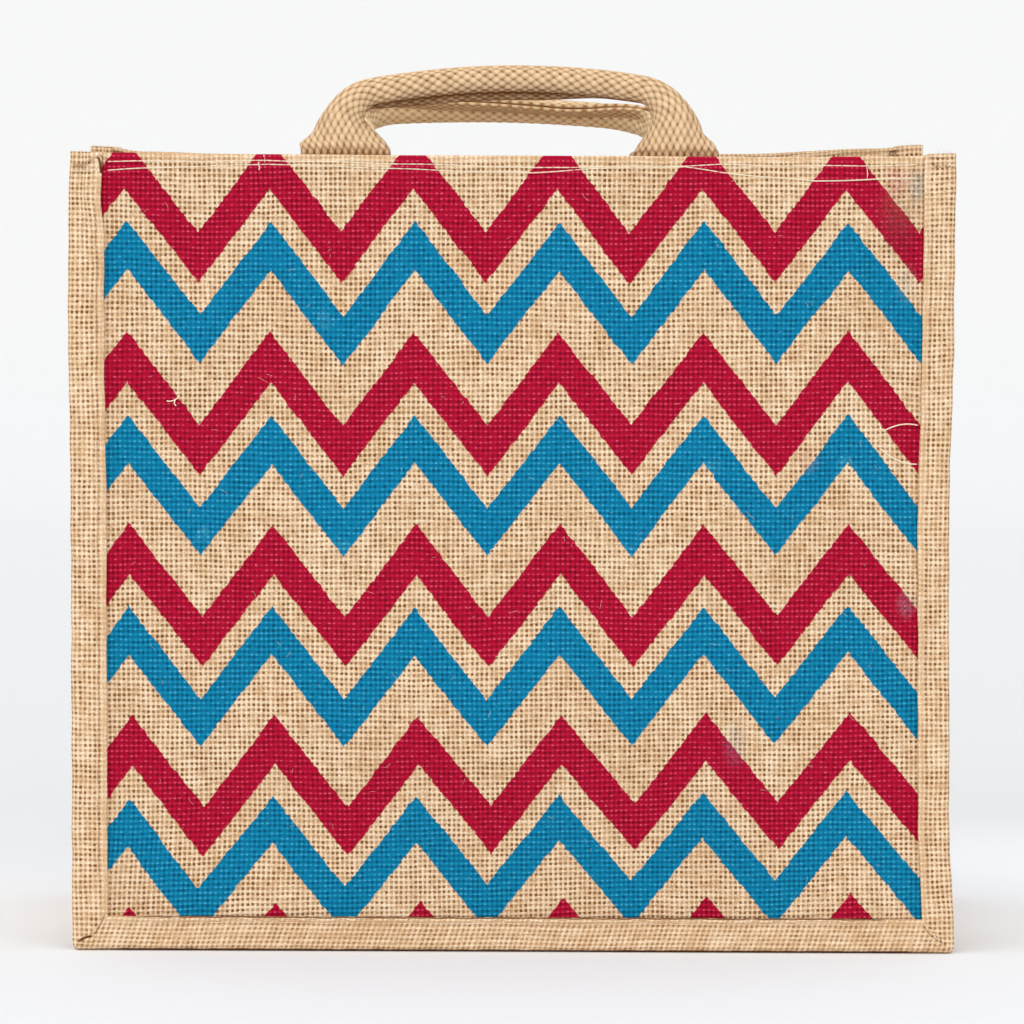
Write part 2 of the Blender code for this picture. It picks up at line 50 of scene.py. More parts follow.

# %% [markdown]
# ## The camera
# The photograph was taken from far off with a long lens, a little to the right and 4 degrees above the bag.
# A long lens keeps the back of the bag almost as large as the front. The camera could be placed by eye, but
# the widths of the front and the back frame in the picture give the distance, which is set below.

# %% Camera
YAW = math.radians(1.8)
TILT = math.radians(4.09)
DISTANCE = 2.7
FOCAL_PIXELS = 6750
PHOTO_PIXELS = 1024
SENSOR_WIDTH = 36
aim = np.array([-0.0001, -0.0900, 0.1774])
eye = aim + DISTANCE * np.array([math.sin(YAW), -math.cos(YAW), math.tan(TILT)])
camera = bpy.data.objects.new("camera", bpy.data.cameras.new("camera"))
bpy.context.scene.collection.objects.link(camera)
bpy.context.scene.camera = camera
camera.location = eye
camera.rotation_euler = Vector(aim - eye).to_track_quat("-Z", "Y").to_euler()
camera.data.sensor_width = SENSOR_WIDTH
camera.data.lens = FOCAL_PIXELS * SENSOR_WIDTH / PHOTO_PIXELS
print("camera at", eye.round(3), "lens", round(camera.data.lens, 1), "mm")

# %% [markdown]
# ## Sizes of the bag
# These are the sizes the pieces were cut and folded to, the same as in the CAD source, in metres. All cloth
# is first worked out on a straight, square bag. One function then settles every point, so that the layers of
# a seam keep their distance.

# %% Sizes
HALF_WIDTH = 0.1775         # half of the front frame, outside to outside
HEIGHT = 0.3217             # floor to the cut ends of the bindings
SEAM = 0.090                # the seams' middle planes lie at y = -SEAM and at y = +SEAM
CLOTH = 0.0012              # thickness of the jute cloth
WEBBING = 0.0018            # thickness of the handle webbing
GAP = 0.0003                # air between two layers
LAYER = CLOTH + GAP
RAW_EDGE = 0.0030           # raw edges of the layers, in from the outside of the frame
PANEL_FOLD = HEIGHT - 0.0004 - (CLOTH + GAP / 2)
GUSSET_FOLD = HEIGHT - 0.0050 - (CLOTH + GAP / 2)
HEM_DEPTH = 0.016
PANEL_HEM_HALF = 0.1615     # the hems stop short of their neighbours
GUSSET_HEM_HALF = 0.084
WALL_INSET = 0.0130         # middle of the gusset wall, in from the outside of the frame
GUSSET_CORNER = 0.006       # bend between side and bottom
GUSSET_TURN = 0.0015        # bend where the wall turns out into the seam
print("frame", 2 * HALF_WIDTH, "wide,", HEIGHT, "high,", 2 * SEAM, "ink_shade_in_pores")

# %% [markdown]
# ## How the empty bag stands
# An empty jute bag is stiff but not straight. Its back frame has shifted to one side, its edges wander by a
# millimetre or two, the top edges hang between the seams, the front bellies out and the sides bow in. A cloth
# simulation could find such a shape, but not this very one, so short tables measured on the bag hold it.

# %% The settled shape
SIDE_EDGES = np.array([
    # level  front left  front right  back left  back right
    (0.000, -0.0001, 0.0003, 0.0004, -0.0002),
    (0.060, -0.0001, -0.0020, 0.0012, -0.0010),
    (0.176, 0.0000, -0.0025, 0.0018, -0.0016),
    (0.249, -0.0007, -0.0009, 0.0009, -0.0010),
    (0.301, -0.0004, -0.0005, 0.0002, -0.0003),
    (0.322, 0.0005, -0.0003, 0.0000, 0.0000),
])
TOP_EDGES = np.array([
    # across  front  back
    (-0.178, 0.0000, 0.0009),
    (-0.168, 0.0000, 0.0012),
    (-0.156, 0.0000, 0.0028),
    (-0.100, 0.0006, 0.0047),
    (-0.033, 0.0010, 0.0050),
    (0.033, 0.0012, 0.0048),
    (0.100, 0.0016, 0.0037),
    (0.156, 0.0014, 0.0014),
    (0.178, 0.0005, 0.0002),
])
BACK_SHIFT = -0.0082        # the back frame stands this far to the left of the front one
DROOP_REACH = 5             # power with which the droop fades towards the floor
FRONT_BELLY = 0.0050        # how far the front panel bulges out below its middle
BACK_BELLY = 0.0040
FRONT_TOP_BOW = 0.0015      # how far the top edge of the front panel stands out
BACK_TOP_BOW = -0.0070      # the back one bows into the bag
WALL_BOW_FLOOR = 0.0015     # how far the side walls bow in at the floor, and how much further at their top
WALL_BOW_RISE = 0.0065
WALL_DIP = 0.0035           # how far the top edges of the side walls hang
# Where each of these bends starts and is complete, as a pair of places across, deep or high.
CREASE_SIDES = (HALF_WIDTH - WALL_INSET, 0.120)
CREASE_BOTTOM = (0.016, 0.060)
WALL_ONLY = (0.110, 0.158)
FLOOR_SAG_DEPTH = (0.046, SEAM - 0.005)
FLOOR_SAG_LEVEL = (0.025, 0.110)
BELLY_BOTTOM = (0.014, 0.110)
BELLY_TOP = (0.140, HEIGHT)
TOP_BOW_LEVEL = (0.150, HEIGHT)
PANEL_ONLY = (0.030, SEAM - 0.014)
CREASES = (
    # height  across  upwards  start
    (0.0011, 1.5, 0.6, 0.4),
    (0.0007, 2.6, 1.3, 2.1),
    (0.0005, 0.7, 2.4, 4.0),
)


def ease(low, high, value):
    """0 below low, 1 above high, and the cubic 3 p p - 2 p p p of the share p between."""
    part = np.clip((value - low) / (high - low), 0, 1)
    return part * part * (3 - 2 * part)


def eased_table(place, table, column):
    """A column of a table at any place, eased from each row to the next."""
    place = np.clip(place, table[0, 0], table[-1, 0])
    row = np.clip(np.searchsorted(table[:, 0], place, side="right") - 1, 0, len(table) - 2)
    part = ease(0, 1, (place - table[row, 0]) / (table[row + 1, 0] - table[row, 0]))
    return table[row, column] * (1 - part) + table[row + 1, column] * part


def ripple(x, z, phase):
    """Soft creases of a panel: sines of the place across and up, fading out towards the frame."""
    fade = ease(*CREASE_SIDES, np.abs(x)) * ease(*CREASE_BOTTOM, z)
    depth = 0
    for height, across, upwards, start in CREASES:
        place = across * x / (2 * HALF_WIDTH) + upwards * z / HEIGHT
        depth = depth + height * np.sin(2 * math.pi * place + start + phase)
    return fade * depth


def settle(points):
    """Moves points of the square bag to the standing one: shift, wander, droop, sag, bow and belly."""
    x, y, z = np.moveaxis(points, -1, 0)
    level = np.clip(z, 0, HEIGHT)
    inner = SEAM - 2 * LAYER
    depth = np.clip((y + inner) / (2 * inner), 0, 1)
    blend = ease(0, 1, depth)
    left = (1 - blend) * eased_table(level, SIDE_EDGES, 1) + blend * eased_table(level, SIDE_EDGES, 3)
    right = (1 - blend) * eased_table(level, SIDE_EDGES, 2) + blend * eased_table(level, SIDE_EDGES, 4)
    across = x / HALF_WIDTH
    middle = (1 - (y / inner) ** 2).clip(0) ** 2
    bow = WALL_BOW_FLOOR + WALL_BOW_RISE * (level / HEIGHT) ** 2
    move_x = BACK_SHIFT * depth + (left * (1 - across) + right * (1 + across)) / 2
    move_x -= np.sign(x) * ease(*WALL_ONLY, np.abs(x)) * bow * middle
    droop = (1 - blend) * eased_table(x, TOP_EDGES, 1) + blend * eased_table(x, TOP_EDGES, 2)
    on_floor = 1 - ease(*FLOOR_SAG_DEPTH, np.abs(y))
    move_z = -droop * (level / HEIGHT) ** DROOP_REACH - WALL_DIP * middle * (level / HEIGHT) ** 6
    move_z -= (WALL_INSET - CLOTH / 2) * on_floor * (1 - ease(*FLOOR_SAG_LEVEL, level))
    width_fade = (1 - (x / (HALF_WIDTH - WALL_INSET)) ** 2).clip(0) ** 1.5
    belly = ease(*BELLY_BOTTOM, level) * (1 - 0.8 * ease(*BELLY_TOP, level))
    top = ease(*TOP_BOW_LEVEL, level)
    front = width_fade * (FRONT_BELLY * belly + FRONT_TOP_BOW * top) + ripple(x, level, 0)
    back = width_fade * (BACK_BELLY * belly + BACK_TOP_BOW * top) + ripple(x, level, 1.7)
    move_y = ease(*PANEL_ONLY, y) * back - ease(*PANEL_ONLY, -y) * front
    return np.stack([x + move_x, y + move_y, z + move_z], axis=-1)


print("a corner of the back frame settles to", settle(np.array([HALF_WIDTH, SEAM, HEIGHT])).round(4))

# %% [markdown]
# ## From a grid of points to a closed sheet
# Cloth has two faces and a thin rim. Solidify could add the second face, but the folds of a bag are so tight
# that each face is better worked out on its own. One function joins two grids of points into a closed mesh.
# It also writes the thread count of every corner into a UV map: U counts the upright threads and V the
# crossing ones, so the weave follows the cloth through every fold.

# %% Grid to mesh
def face_way(points, faces):
    """The signed volume of a closed mesh: the sum of corner one dot (corner two cross corner three)."""
    corner = points[faces]
    first = np.einsum("ij,ij->i", corner[:, 0], np.cross(corner[:, 1], corner[:, 2]))
    second = np.einsum("ij,ij->i", corner[:, 0], np.cross(corner[:, 2], corner[:, 3]))
    return (first.sum() + second.sum()) / 6


def mesh_object(name, points, faces, face_uv, material, numbers=None):
    """An object from arrays of points and four-cornered faces, with its UV map and named numbers."""
    if face_way(points, faces) < 0:
        faces = faces[:, ::-1]
        face_uv = face_uv[:, ::-1]
    used, again = np.unique(faces, return_inverse=True)
    mesh = bpy.data.meshes.new(name)
    mesh.from_pydata(points[used].tolist(), [], again.reshape(faces.shape).tolist())
    mesh.uv_layers.new(name="threads").data.foreach_set("uv", face_uv.astype(np.float32).ravel())
    for key, values in (numbers or {}).items():
        mesh.attributes.new(key, "FLOAT", "POINT").data.foreach_set("value", values[used].astype(np.float32))
    mesh.materials.append(material)
    mesh.shade_smooth()
    thing = bpy.data.objects.new(name, mesh)
    bpy.context.scene.collection.objects.link(thing)
    mesh.calc_loop_triangles()
    print(name, len(mesh.loop_triangles), "triangles")
    return thing


def closed_sheet(name, outer, inner, threads, material, keep=None, numbers=None):
    """Two grids of points become the faces of one cloth, and every open edge gets a rim.

    threads is the thread count on the grid, or a pair of them where it jumps from one row to the next.
    """
    rows, columns = outer.shape[:2]
    count = rows * columns
    low, high = threads if isinstance(threads, tuple) else (threads[:-1], threads[1:])
    keep = np.ones((rows - 1, columns - 1), bool) if keep is None else keep
    index = np.arange(count).reshape(rows, columns)
    quads = np.stack([index[:-1, :-1], index[:-1, 1:], index[1:, 1:], index[1:, :-1]], axis=-1)[keep]
    uv = np.stack([low[:, :-1], low[:, 1:], high[:, 1:], high[:, :-1]], axis=2)[keep]
    edges = np.stack([quads, np.roll(quads, -1, axis=1)], axis=-1).reshape(-1, 2)
    edge_uv = np.stack([uv, np.roll(uv, -1, axis=1)], axis=2).reshape(-1, 2, 2)
    alone = ~np.isin(edges[:, 1] * count + edges[:, 0], edges[:, 0] * count + edges[:, 1])
    start, end = edges[alone].T
    rim = np.stack([end, start, count + start, count + end], axis=1)
    rim_uv = edge_uv[alone][:, [1, 0, 0, 1]]
    faces = np.concatenate([quads, count + quads[:, ::-1], rim])
    face_uv = np.concatenate([uv, uv[:, ::-1], rim_uv])
    points = np.concatenate([outer.reshape(-1, 3), inner.reshape(-1, 3)])
    doubled = {key: np.tile(values.ravel(), 2) for key, values in (numbers or {}).items()}
    doubled["outside"] = np.repeat([1.0, 0.0], count)
    return mesh_object(name, points, faces, face_uv, material, doubled)


def outward(outer, inner):
    """Unit normals of a grid: the cross product of its two directions, turned away from the inner face."""
    normal = np.cross(np.gradient(outer, axis=0), np.gradient(outer, axis=1))
    normal /= np.linalg.norm(normal, axis=-1, keepdims=True) + 1e-12
    side = np.einsum("ijk,ijk->ij", normal, outer - inner)[..., None]
    return normal * np.where(side < 0, -1, 1)


def run_length(line):
    """The length along a row of points up to each one."""
    steps = np.linalg.norm(np.diff(line, axis=0), axis=1)
    return np.concatenate([[0], np.cumsum(steps)])


def waves(x, z, size, seed):
    """A gentle unevenness between -1 and 1: four sines in odd directions, size apart and set by seed."""
    turn = 2 * math.pi / size
    return (np.sin(turn * (x + 0.31 * z) + seed)
            + np.sin(turn * (0.83 * z - 0.42 * x) + 2.3 * seed)
            + np.sin(turn * (1.61 * x - 0.77 * z) + 4.1 * seed)
            + np.sin(turn * (1.37 * z + 1.19 * x) + seed)) / 4


# %% [markdown]
# ## Counting threads
# Jute of this kind has 13 threads to the inch one way and about 12 the other. A thread wanders, so the count
# gets slow waves. Towards the bottom the cloth leans away from the eye and its rows are a little skewed,
# which the count follows too. A plain weave has a pore at each corner between four threads. Where a thread
# lies on top it makes a small bead, and its neighbours make theirs half a step on.

# %% Thread counts and relief
UPRIGHT_STEP = 1.954 * MM
CROSSING_STEP = 2.155 * MM


def cloth_level(x, z):
    """Height on the flat cloth for a place on the standing panel: z less a squeeze and a skew at the foot."""
    low = 1 - z / HEIGHT
    return z - 4.5 * MM * low ** 4 - 0.0265 * x * low ** 3


def panel_threads(x, z, seed):
    """Thread counts across and up on a panel, with the slow wander of the threads."""
    stretch = 2.6 * MM * ease(0.060, 0.010, z) * ease(-0.060, -0.160, x)
    upright = (x + stretch) / UPRIGHT_STEP + 0.20 * waves(x, z, 0.110, seed) + 0.10 * waves(x, z, 0.031, seed)
    crossing = cloth_level(x, z) / CROSSING_STEP + 0.35 * waves(x, z, 0.140, seed + 1.3)
    return np.stack([upright, crossing + 0.12 * waves(x, z, 0.027, seed + 2.0)], axis=-1)


def weave_relief(upright, crossing):
    """Relief of a plain weave, 1 on a bead and 0 in a pore, from two thread counts.

    Each thread is as high as the sine of its share across, times a wave along it that is high where it lies
    on top, and the higher of the two threads shows.
    """
    across = np.abs(np.sin(math.pi * upright))
    along = np.abs(np.sin(math.pi * crossing))
    on_top = np.where((np.floor(upright) + np.floor(crossing)) % 2 < 1, 1, -1)
    upright_height = across ** 0.7 * (0.55 + 0.45 * on_top * along)
    crossing_height = along ** 0.7 * (0.55 - 0.45 * on_top * across)
    return np.maximum(upright_height, crossing_height)


print("threads across the frame:", round(2 * HALF_WIDTH / UPRIGHT_STEP))

# %% [markdown]
# ## A way to write materials
# A material is a tree of nodes. Each node is added by one small function that sets its settings, and links or
# sets its inputs. Colours are written as sRGB hex, as a colour picker gives them, and turned to linear light.

# %% Node helper and colours
def linear(code):
    """An sRGB hex code as linear red, green, blue and alpha."""
    parts = np.array([int(code[place:place + 2], 16) for place in (0, 2, 4)]) / 255
    parts = np.where(parts <= 0.04045, parts / 12.92, ((parts + 0.055) / 1.055) ** 2.4)
    return (*parts, 1.0)


SMOOTH = {"interpolation_type": "SMOOTHSTEP"}
COLOUR = {"data_type": "RGBA", "output": 2}


def add(tree, kind, inputs=(), output=0, **settings):
    """Adds a shader node, sets it up, fills its inputs with values or links, and returns one output.

    kind is the node's kind, and after a space its operation where it has one.
    """
    kind, *operation = kind.split()
    node = tree.nodes.new("ShaderNode" + kind)
    if operation:
        node.operation = operation[0]
    for key, value in settings.items():
        setattr(node, key, value)
    for place, value in inputs.items() if isinstance(inputs, dict) else enumerate(inputs):
        if isinstance(value, bpy.types.NodeSocket):
            tree.links.new(value, node.inputs[place])
        elif value is not None:
            node.inputs[place].default_value = value
    return node.outputs[output]


def new_material(name, roughness, sheen):
    """A dull fibre material: no metal, a fuzzy sheen, and the usual IOR of plant fibre."""
    material = bpy.data.materials.new(name)
    material.use_nodes = True
    shader = material.node_tree.nodes["Principled BSDF"]
    shader.inputs["Roughness"].default_value = roughness
    shader.inputs["Metallic"].default_value = 0.0
    shader.inputs["IOR"].default_value = 1.53
    shader.inputs["Specular IOR Level"].default_value = 0.12
    shader.inputs["Sheen Weight"].default_value = sheen
    shader.inputs["Sheen Roughness"].default_value = 0.5
    return material, material.node_tree, shader


# %% [markdown]
# ## Plain-woven jute
# Jute yarn is spun from long, stiff, golden-brown fibres. It is thick and thin by turns, so some pores of the
# cloth are open and others are almost closed; the open ones are filled with painted shade, the dark inside of
# the bag seen through them. A picture of cloth would do, but a pattern from the thread count stays sharp and
# sits right on every piece. The yarn's thickness is noise stretched along each thread, and a pore is an
# ellipse at each corner of the count that shrinks where the yarn is thick.

# %% Jute material
YARN_LIGHT = linear("FDE6C6")
YARN_DARK = linear("D6AC7F")
# The two pore colours are painted shade: the dark inside of the bag seen through the weave.
PORE_RIM_SHADE = linear("7A4C26")
PORE_FLOOR_SHADE = linear("774F2C")
PORE_SIZE = 0.295       # half a pore, as a share of the step from thread to thread
LENGTHWISE = 0.16       # how far the noise is stretched along a thread
WEAVE_DEPTH = 0.45 * MM


def jute_weave(tree):
    """Nodes of the weave: counts, distances to the thread edges, cells, natural colour, relief and pores.

    The mesh attribute "open" says how open the weave is: little where cloth is rolled or folded.
    """
    count = add(tree, "UVMap", uv_map="threads")
    counts = upright, crossing = [add(tree, "SeparateXYZ", (count,), output=axis) for axis in (0, 1)]
    offs = [add(tree, "Math PINGPONG", (value, 0.5)) for value in counts]
    cells = thread, row = [add(tree, "Math FLOOR", (value,)) for value in counts]
    along_upright = add(tree, "CombineXYZ", (
        add(tree, "Math MULTIPLY", (thread, 7.31)), add(tree, "Math MULTIPLY", (crossing, LENGTHWISE)), 0.0))
    along_crossing = add(tree, "CombineXYZ", (
        add(tree, "Math MULTIPLY", (upright, LENGTHWISE)), add(tree, "Math MULTIPLY", (row, 5.77)), 9.0))
    thickness = [add(tree, "TexNoise", {"Vector": along, "Scale": 1.0, "Detail": 1.0})
                 for along in (along_upright, along_crossing)]

    # A pore: how far a place is from the corner, as a share of what the yarn leaves open, with a fuzzy rim.
    room = [add(tree, "MapRange", (thick, 0.25, 0.75, most * PORE_SIZE, least * PORE_SIZE))
            for thick, most, least in zip(thickness, (1.22, 1.16), (0.78, 0.74))]
    reach = add(tree, "CombineXYZ", [add(tree, "Math DIVIDE", pair) for pair in zip(offs, room)] + [0.0])
    away = add(tree, "VectorMath LENGTH", (reach,), output=1)
    fuzz = add(tree, "TexNoise", {"Vector": count, "Scale": 4.2, "Detail": 2.0, "Roughness": 0.6})
    away = add(tree, "Math ADD", (away, add(tree, "MapRange", (fuzz, 0.3, 0.7, -0.26, 0.26))))
    pore = add(tree, "MapRange", (away, 0.75, 1.15, 1.0, 0.0), **SMOOTH)
    core = add(tree, "MapRange", (away, 0.10, 0.75, 1.0, 0.0), **SMOOTH)
    corner = add(tree, "CombineXYZ", [add(tree, "Math ROUND", (value,)) for value in counts] + [0.0])
    lottery = add(tree, "TexWhiteNoise", (corner,), noise_dimensions="2D")
    openness = add(tree, "Attribute", output=2, attribute_name="open")
    for share in (add(tree, "MapRange", (lottery, 0.0, 0.8, 0.35, 1.0)), openness):
        pore = add(tree, "Math MULTIPLY", (pore, share))

    # The relief: which thread lies on top, and how high its bead stands.
    order = add(tree, "Math FLOORED_MODULO", (add(tree, "Math ADD", cells), 2.0))
    rounds = [add(tree, "MapRange", (off, 0.0, 0.40, 0.0, 1.0), **SMOOTH) for off in offs]
    heights = []
    for own, other, crowns in zip(rounds, rounds[::-1], ((1.0, 0.30), (0.30, 1.0))):
        crown = add(tree, "MapRange", (order, 0.0, 1.0, *crowns))
        rise = add(tree, "Mix", {"Factor": other, 2: 0.62, 3: crown})
        heights.append(add(tree, "Math MULTIPLY", (own, rise)))
    relief = add(tree, "Math SMOOTH_MAX", (*heights, 0.12))
    # A painted glint on the crown of some beads, used only in the colour.
    lottery = add(tree, "TexWhiteNoise", (add(tree, "CombineXYZ", (*cells, 0.0)),), noise_dimensions="2D")
    bead_highlight = add(tree, "MapRange", (lottery, 0.0, 1.0, 0.15, 1.0))
    for off, low, high in zip(offs, (0.20, 0.16), (0.48, 0.46)):
        bead_highlight = add(tree, "Math MULTIPLY", (bead_highlight, add(tree, "MapRange", (off, low, high, 0.0, 1.0), **SMOOTH)))

    # The colour: each thread has its own tone and fine fibres streak it. Painted highlight makes the beads
    # and the raised yarn lighter, and painted shade makes the sunken yarn darker.
    tone = add(tree, "Math ADD", thickness)
    fibres = add(tree, "TexNoise", {"Vector": count, "Scale": 2.6, "Detail": 3.0, "Roughness": 0.7})
    patches = add(tree, "TexNoise", {"Vector": count, "Scale": 0.045, "Detail": 2.0})
    light = 0.0
    parts = (
        (tone, 0.75, 1.25, -0.22, 0.22),
        (fibres, 0.3, 0.7, -0.50, 0.50),
        (patches, 0.3, 0.7, -0.10, 0.10),
        (relief, 0.2, 0.9, 0.05, 0.45),
        (bead_highlight, 0.0, 1.0, 0.0, 0.60),
    )
    for part in parts:
        light = add(tree, "Math ADD", (light, add(tree, "MapRange", part)))
    yarn = add(tree, "Mix", {"Factor": light, 6: YARN_DARK, 7: YARN_LIGHT}, **COLOUR)
    # Painted shade fills the pores, from their rim to their middle.
    painted_hollow_shade = add(tree, "Mix", {"Factor": core, 6: PORE_RIM_SHADE, 7: PORE_FLOOR_SHADE}, **COLOUR)
    natural = add(tree, "Mix", {"Factor": pore, 6: yarn, 7: painted_hollow_shade}, **COLOUR)
    return dict(counts=counts, offs=offs, cells=cells, natural=natural, relief=relief, pore=pore)


def finish_weave(tree, shader, colour, weave, depth):
    """Links colour and relief into the shader. Pores count as deep."""
    height = add(tree, "Math SUBTRACT", (weave["relief"], add(tree, "Math MULTIPLY", (weave["pore"], 0.6))))
    bump = add(tree, "Bump", {"Strength": 1.0, "Distance": depth, "Height": height})
    tree.links.new(colour, shader.inputs["Base Color"])
    tree.links.new(bump, shader.inputs["Normal"])


def plain_jute(name):
    """Natural jute without print."""
    material, tree, shader = new_material(name, 0.85, 0.0)
    weave = jute_weave(tree)
    finish_weave(tree, shader, weave["natural"], weave, WEAVE_DEPTH)
    return material


# %% [markdown]
# ## The zigzag print
# The front is screen-printed with a plain zigzag, a common repeat, in crimson and blue, one screen for each.
# Ink lies on the yarn and follows it, so the print is drawn in thread counts too. A triangle wave of the
# count across gives how far the zigzag has come down, and the rest after division by the repeat tells ink
# from bare cloth. A little jitter makes the stepped edges that ink has on coarse cloth. The beads have lost
# some ink.

# %% Printed jute
REPEAT_ACROSS = 57.7
REPEAT_DOWN = 77.3
FALL = 37.5
SCREENS = (
    # apex  stripe  peak  drift of the peak per millimetre down  body  worn bead  painted shade in pores
    (327.2, 20.4, 17.9, 0.0090, linear("B80632"), linear("F07590"), linear("720016")),
    (293.8, 19.4, 19.0, 0.0, linear("0082AC"), linear("66C6E2"), linear("004A6C")),
)

# Places where the print is worn or smeared: middle across and up, half sizes, all in millimetres on the
# cloth, then how strong the mark is and its colour.
MARKS = (
    # across  up  half width  half height  strength  colour
    (153.5, 309.5, 5.5, 7.0, 0.55, "C2536A"),
    (161.5, 308.0, 3.5, 8.0, 0.65, "6F92A0"),
    (155.0, 300.0, 9.0, 12.0, 0.30, "9A7A58"),
    (154.0, 289.5, 8.0, 13.0, 0.45, "6E2A36"),
    (157.5, 269.0, 4.5, 8.0, 0.35, "93A6A8"),
    (118.0, 198.0, 5.0, 5.0, 0.22, "C98795"),
    (157.5, 139.5, 4.0, 6.0, 0.35, "7FA3B0"),
    (89.5, 82.0, 5.0, 10.0, 0.30, "2E86A6"),
    (107.0, 93.5, 0.9, 0.9, 0.85, "6B4A22"),
    (157.5, 4.5, 4.0, 2.5, 0.55, "BC4A5C"),
)
# Places where the ink is thin: middle across and up, and half sizes.
THIN_INK = (
    (-124.0, 168.0, 4.5, 5.0),
    (-68.5, 164.0, 5.5, 5.0),
    (43.5, 162.0, 9.0, 5.0),
    (79.5, 195.0, 5.5, 6.0),
    (133.5, 195.0, 5.0, 6.0),
    (-75.0, 255.0, 5.0, 6.0),
    (70.0, 210.0, 4.0, 4.0),
)


def soft_patch(tree, place, across, up, half_width, half_height):
    """1 in the middle of an ellipse on the cloth and 0 outside it."""
    offset = add(tree, "VectorMath SUBTRACT", (place, (across, up, 0.0)))
    share = add(tree, "VectorMath MULTIPLY", (offset, (1 / half_width, 1 / half_height, 0.0)))
    away = add(tree, "VectorMath LENGTH", (share,), output=1)
    return add(tree, "MapRange", (away, 0.3, 1.3, 1.0, 0.0), **SMOOTH)


def printed_jute(name):
    """Natural jute with the zigzag, its worn places and a few smears."""
    material, tree, shader = new_material(name, 0.85, 0.0)
    weave = jute_weave(tree)
    upright, crossing = weave["counts"]
    off_upright, off_crossing = weave["offs"]
    outside = add(tree, "Attribute", output=2, attribute_name="outside")
    doubled = [add(tree, "Math MULTIPLY", (value, 2.0)) for value in weave["counts"]]
    half_thread = add(tree, "CombineXYZ", [add(tree, "Math FLOOR", (value,)) for value in doubled] + [0.0])
    jitter = add(tree, "TexWhiteNoise", (half_thread,), noise_dimensions="2D")
    wobble = add(tree, "CombineXYZ", (upright, crossing, 5.0))
    wobble = add(tree, "TexNoise", {"Vector": wobble, "Scale": 0.9})
    jitter = add(tree, "Math ADD", (
        add(tree, "MapRange", (jitter, 0.0, 1.0, -0.22, 0.22)),
        add(tree, "MapRange", (wobble, 0.3, 0.7, -0.55, 0.55))))
    across = add(tree, "Math MULTIPLY", (upright, UPRIGHT_STEP / MM))
    up = add(tree, "Math MULTIPLY", (crossing, CROSSING_STEP / MM))
    shares = []
    for apex, stripe, peak, drift in (screen[:4] for screen in SCREENS):
        shift = add(tree, "Math MULTIPLY_ADD", (up, drift, -peak - drift * apex))
        turn = add(tree, "Math ADD", (across, shift))
        fall = add(tree, "Math PINGPONG", (turn, REPEAT_ACROSS / 2))
        level = add(tree, "Math MULTIPLY_ADD", (fall, 2 * FALL / REPEAT_ACROSS, up))
        below = add(tree, "Math SUBTRACT", (apex, level))
        below = add(tree, "Math ADD", (below, jitter))
        within = add(tree, "Math FLOORED_MODULO", (below, REPEAT_DOWN))
        edge = add(tree, "MapRange", (within, stripe - 0.35, stripe + 0.35, 1.0, 0.0))
        started = add(tree, "Math GREATER_THAN", (below, -0.5))
        printed = add(tree, "Math MULTIPLY", (edge, started))
        shares.append(add(tree, "Math MULTIPLY", (printed, outside)))

    # Painted shade makes the ink darker in the pores and along the edges of the threads, and on some beads
    # the bare yarn shines through.
    place = add(tree, "CombineXYZ", (across, up, 0.0))
    worn = add(tree, "TexNoise", {"Vector": place, "Scale": 0.28, "Detail": 3.0, "Roughness": 0.65})
    wear = add(tree, "MapRange", (worn, 0.45, 0.75, 0.0, 0.35))
    for spot in THIN_INK:
        wear = add(tree, "Math MULTIPLY_ADD", (soft_patch(tree, place, *spot), 0.40, wear))
    lottery = add(tree, "TexWhiteNoise", (add(tree, "CombineXYZ", (*weave["cells"], 3.0)),))
    dash = add(tree, "MapRange", (lottery, 0.1, 1.0, 0.05, 1.0))
    for off, low, high in ((off_crossing, 0.30, 0.47), (off_upright, 0.14, 0.34)):
        dash = add(tree, "Math MULTIPLY", (dash, add(tree, "MapRange", (off, low, high, 0.0, 1.0), **SMOOTH)))
    shine = add(tree, "Math MULTIPLY", (dash, add(tree, "MapRange", (wear, 0.0, 0.5, 0.42, 1.0))))
    rubbed = add(tree, "Math ADD", (shine, add(tree, "MapRange", (wear, 0.3, 0.9, 0.0, 0.35))))
    shade_between_threads = add(tree, "Math MAXIMUM", (
        add(tree, "MapRange", (off_crossing, 0.05, 0.24, 0.38, 0.0)),
        add(tree, "MapRange", (off_upright, 0.05, 0.20, 0.25, 0.0))))
    dark = add(tree, "Math MAXIMUM", (add(tree, "Math MULTIPLY", (weave["pore"], 0.95)), shade_between_threads))
    colour = weave["natural"]
    for share, (body, pale, ink_shade_in_pores) in zip(shares, (screen[4:] for screen in SCREENS)):
        ink = add(tree, "Mix", {"Factor": dark, 6: body, 7: ink_shade_in_pores}, **COLOUR)
        ink = add(tree, "Mix", {"Factor": rubbed, 6: ink, 7: pale}, **COLOUR)
        colour = add(tree, "Mix", {"Factor": share, 6: colour, 7: ink}, **COLOUR)

    # Smears: soft patches broken up by speckle.
    speckle = add(tree, "TexNoise", {"Vector": place, "Scale": 0.9, "Detail": 3.0, "Roughness": 0.8})
    speckle = add(tree, "MapRange", (speckle, 0.42, 0.60, 0.05, 1.0))
    for *spot, strength, code in MARKS:
        mask = strength
        for share in (soft_patch(tree, place, *spot), speckle, outside):
            mask = add(tree, "Math MULTIPLY", (mask, share))
        colour = add(tree, "Mix", {"Factor": mask, 6: colour, 7: linear(code)}, **COLOUR)
    finish_weave(tree, shader, colour, weave, WEAVE_DEPTH)
    return material


front_jute = printed_jute("screen_printed_jute")
back_jute = plain_jute("natural_jute")
print("materials:", front_jute.name, back_jute.name)

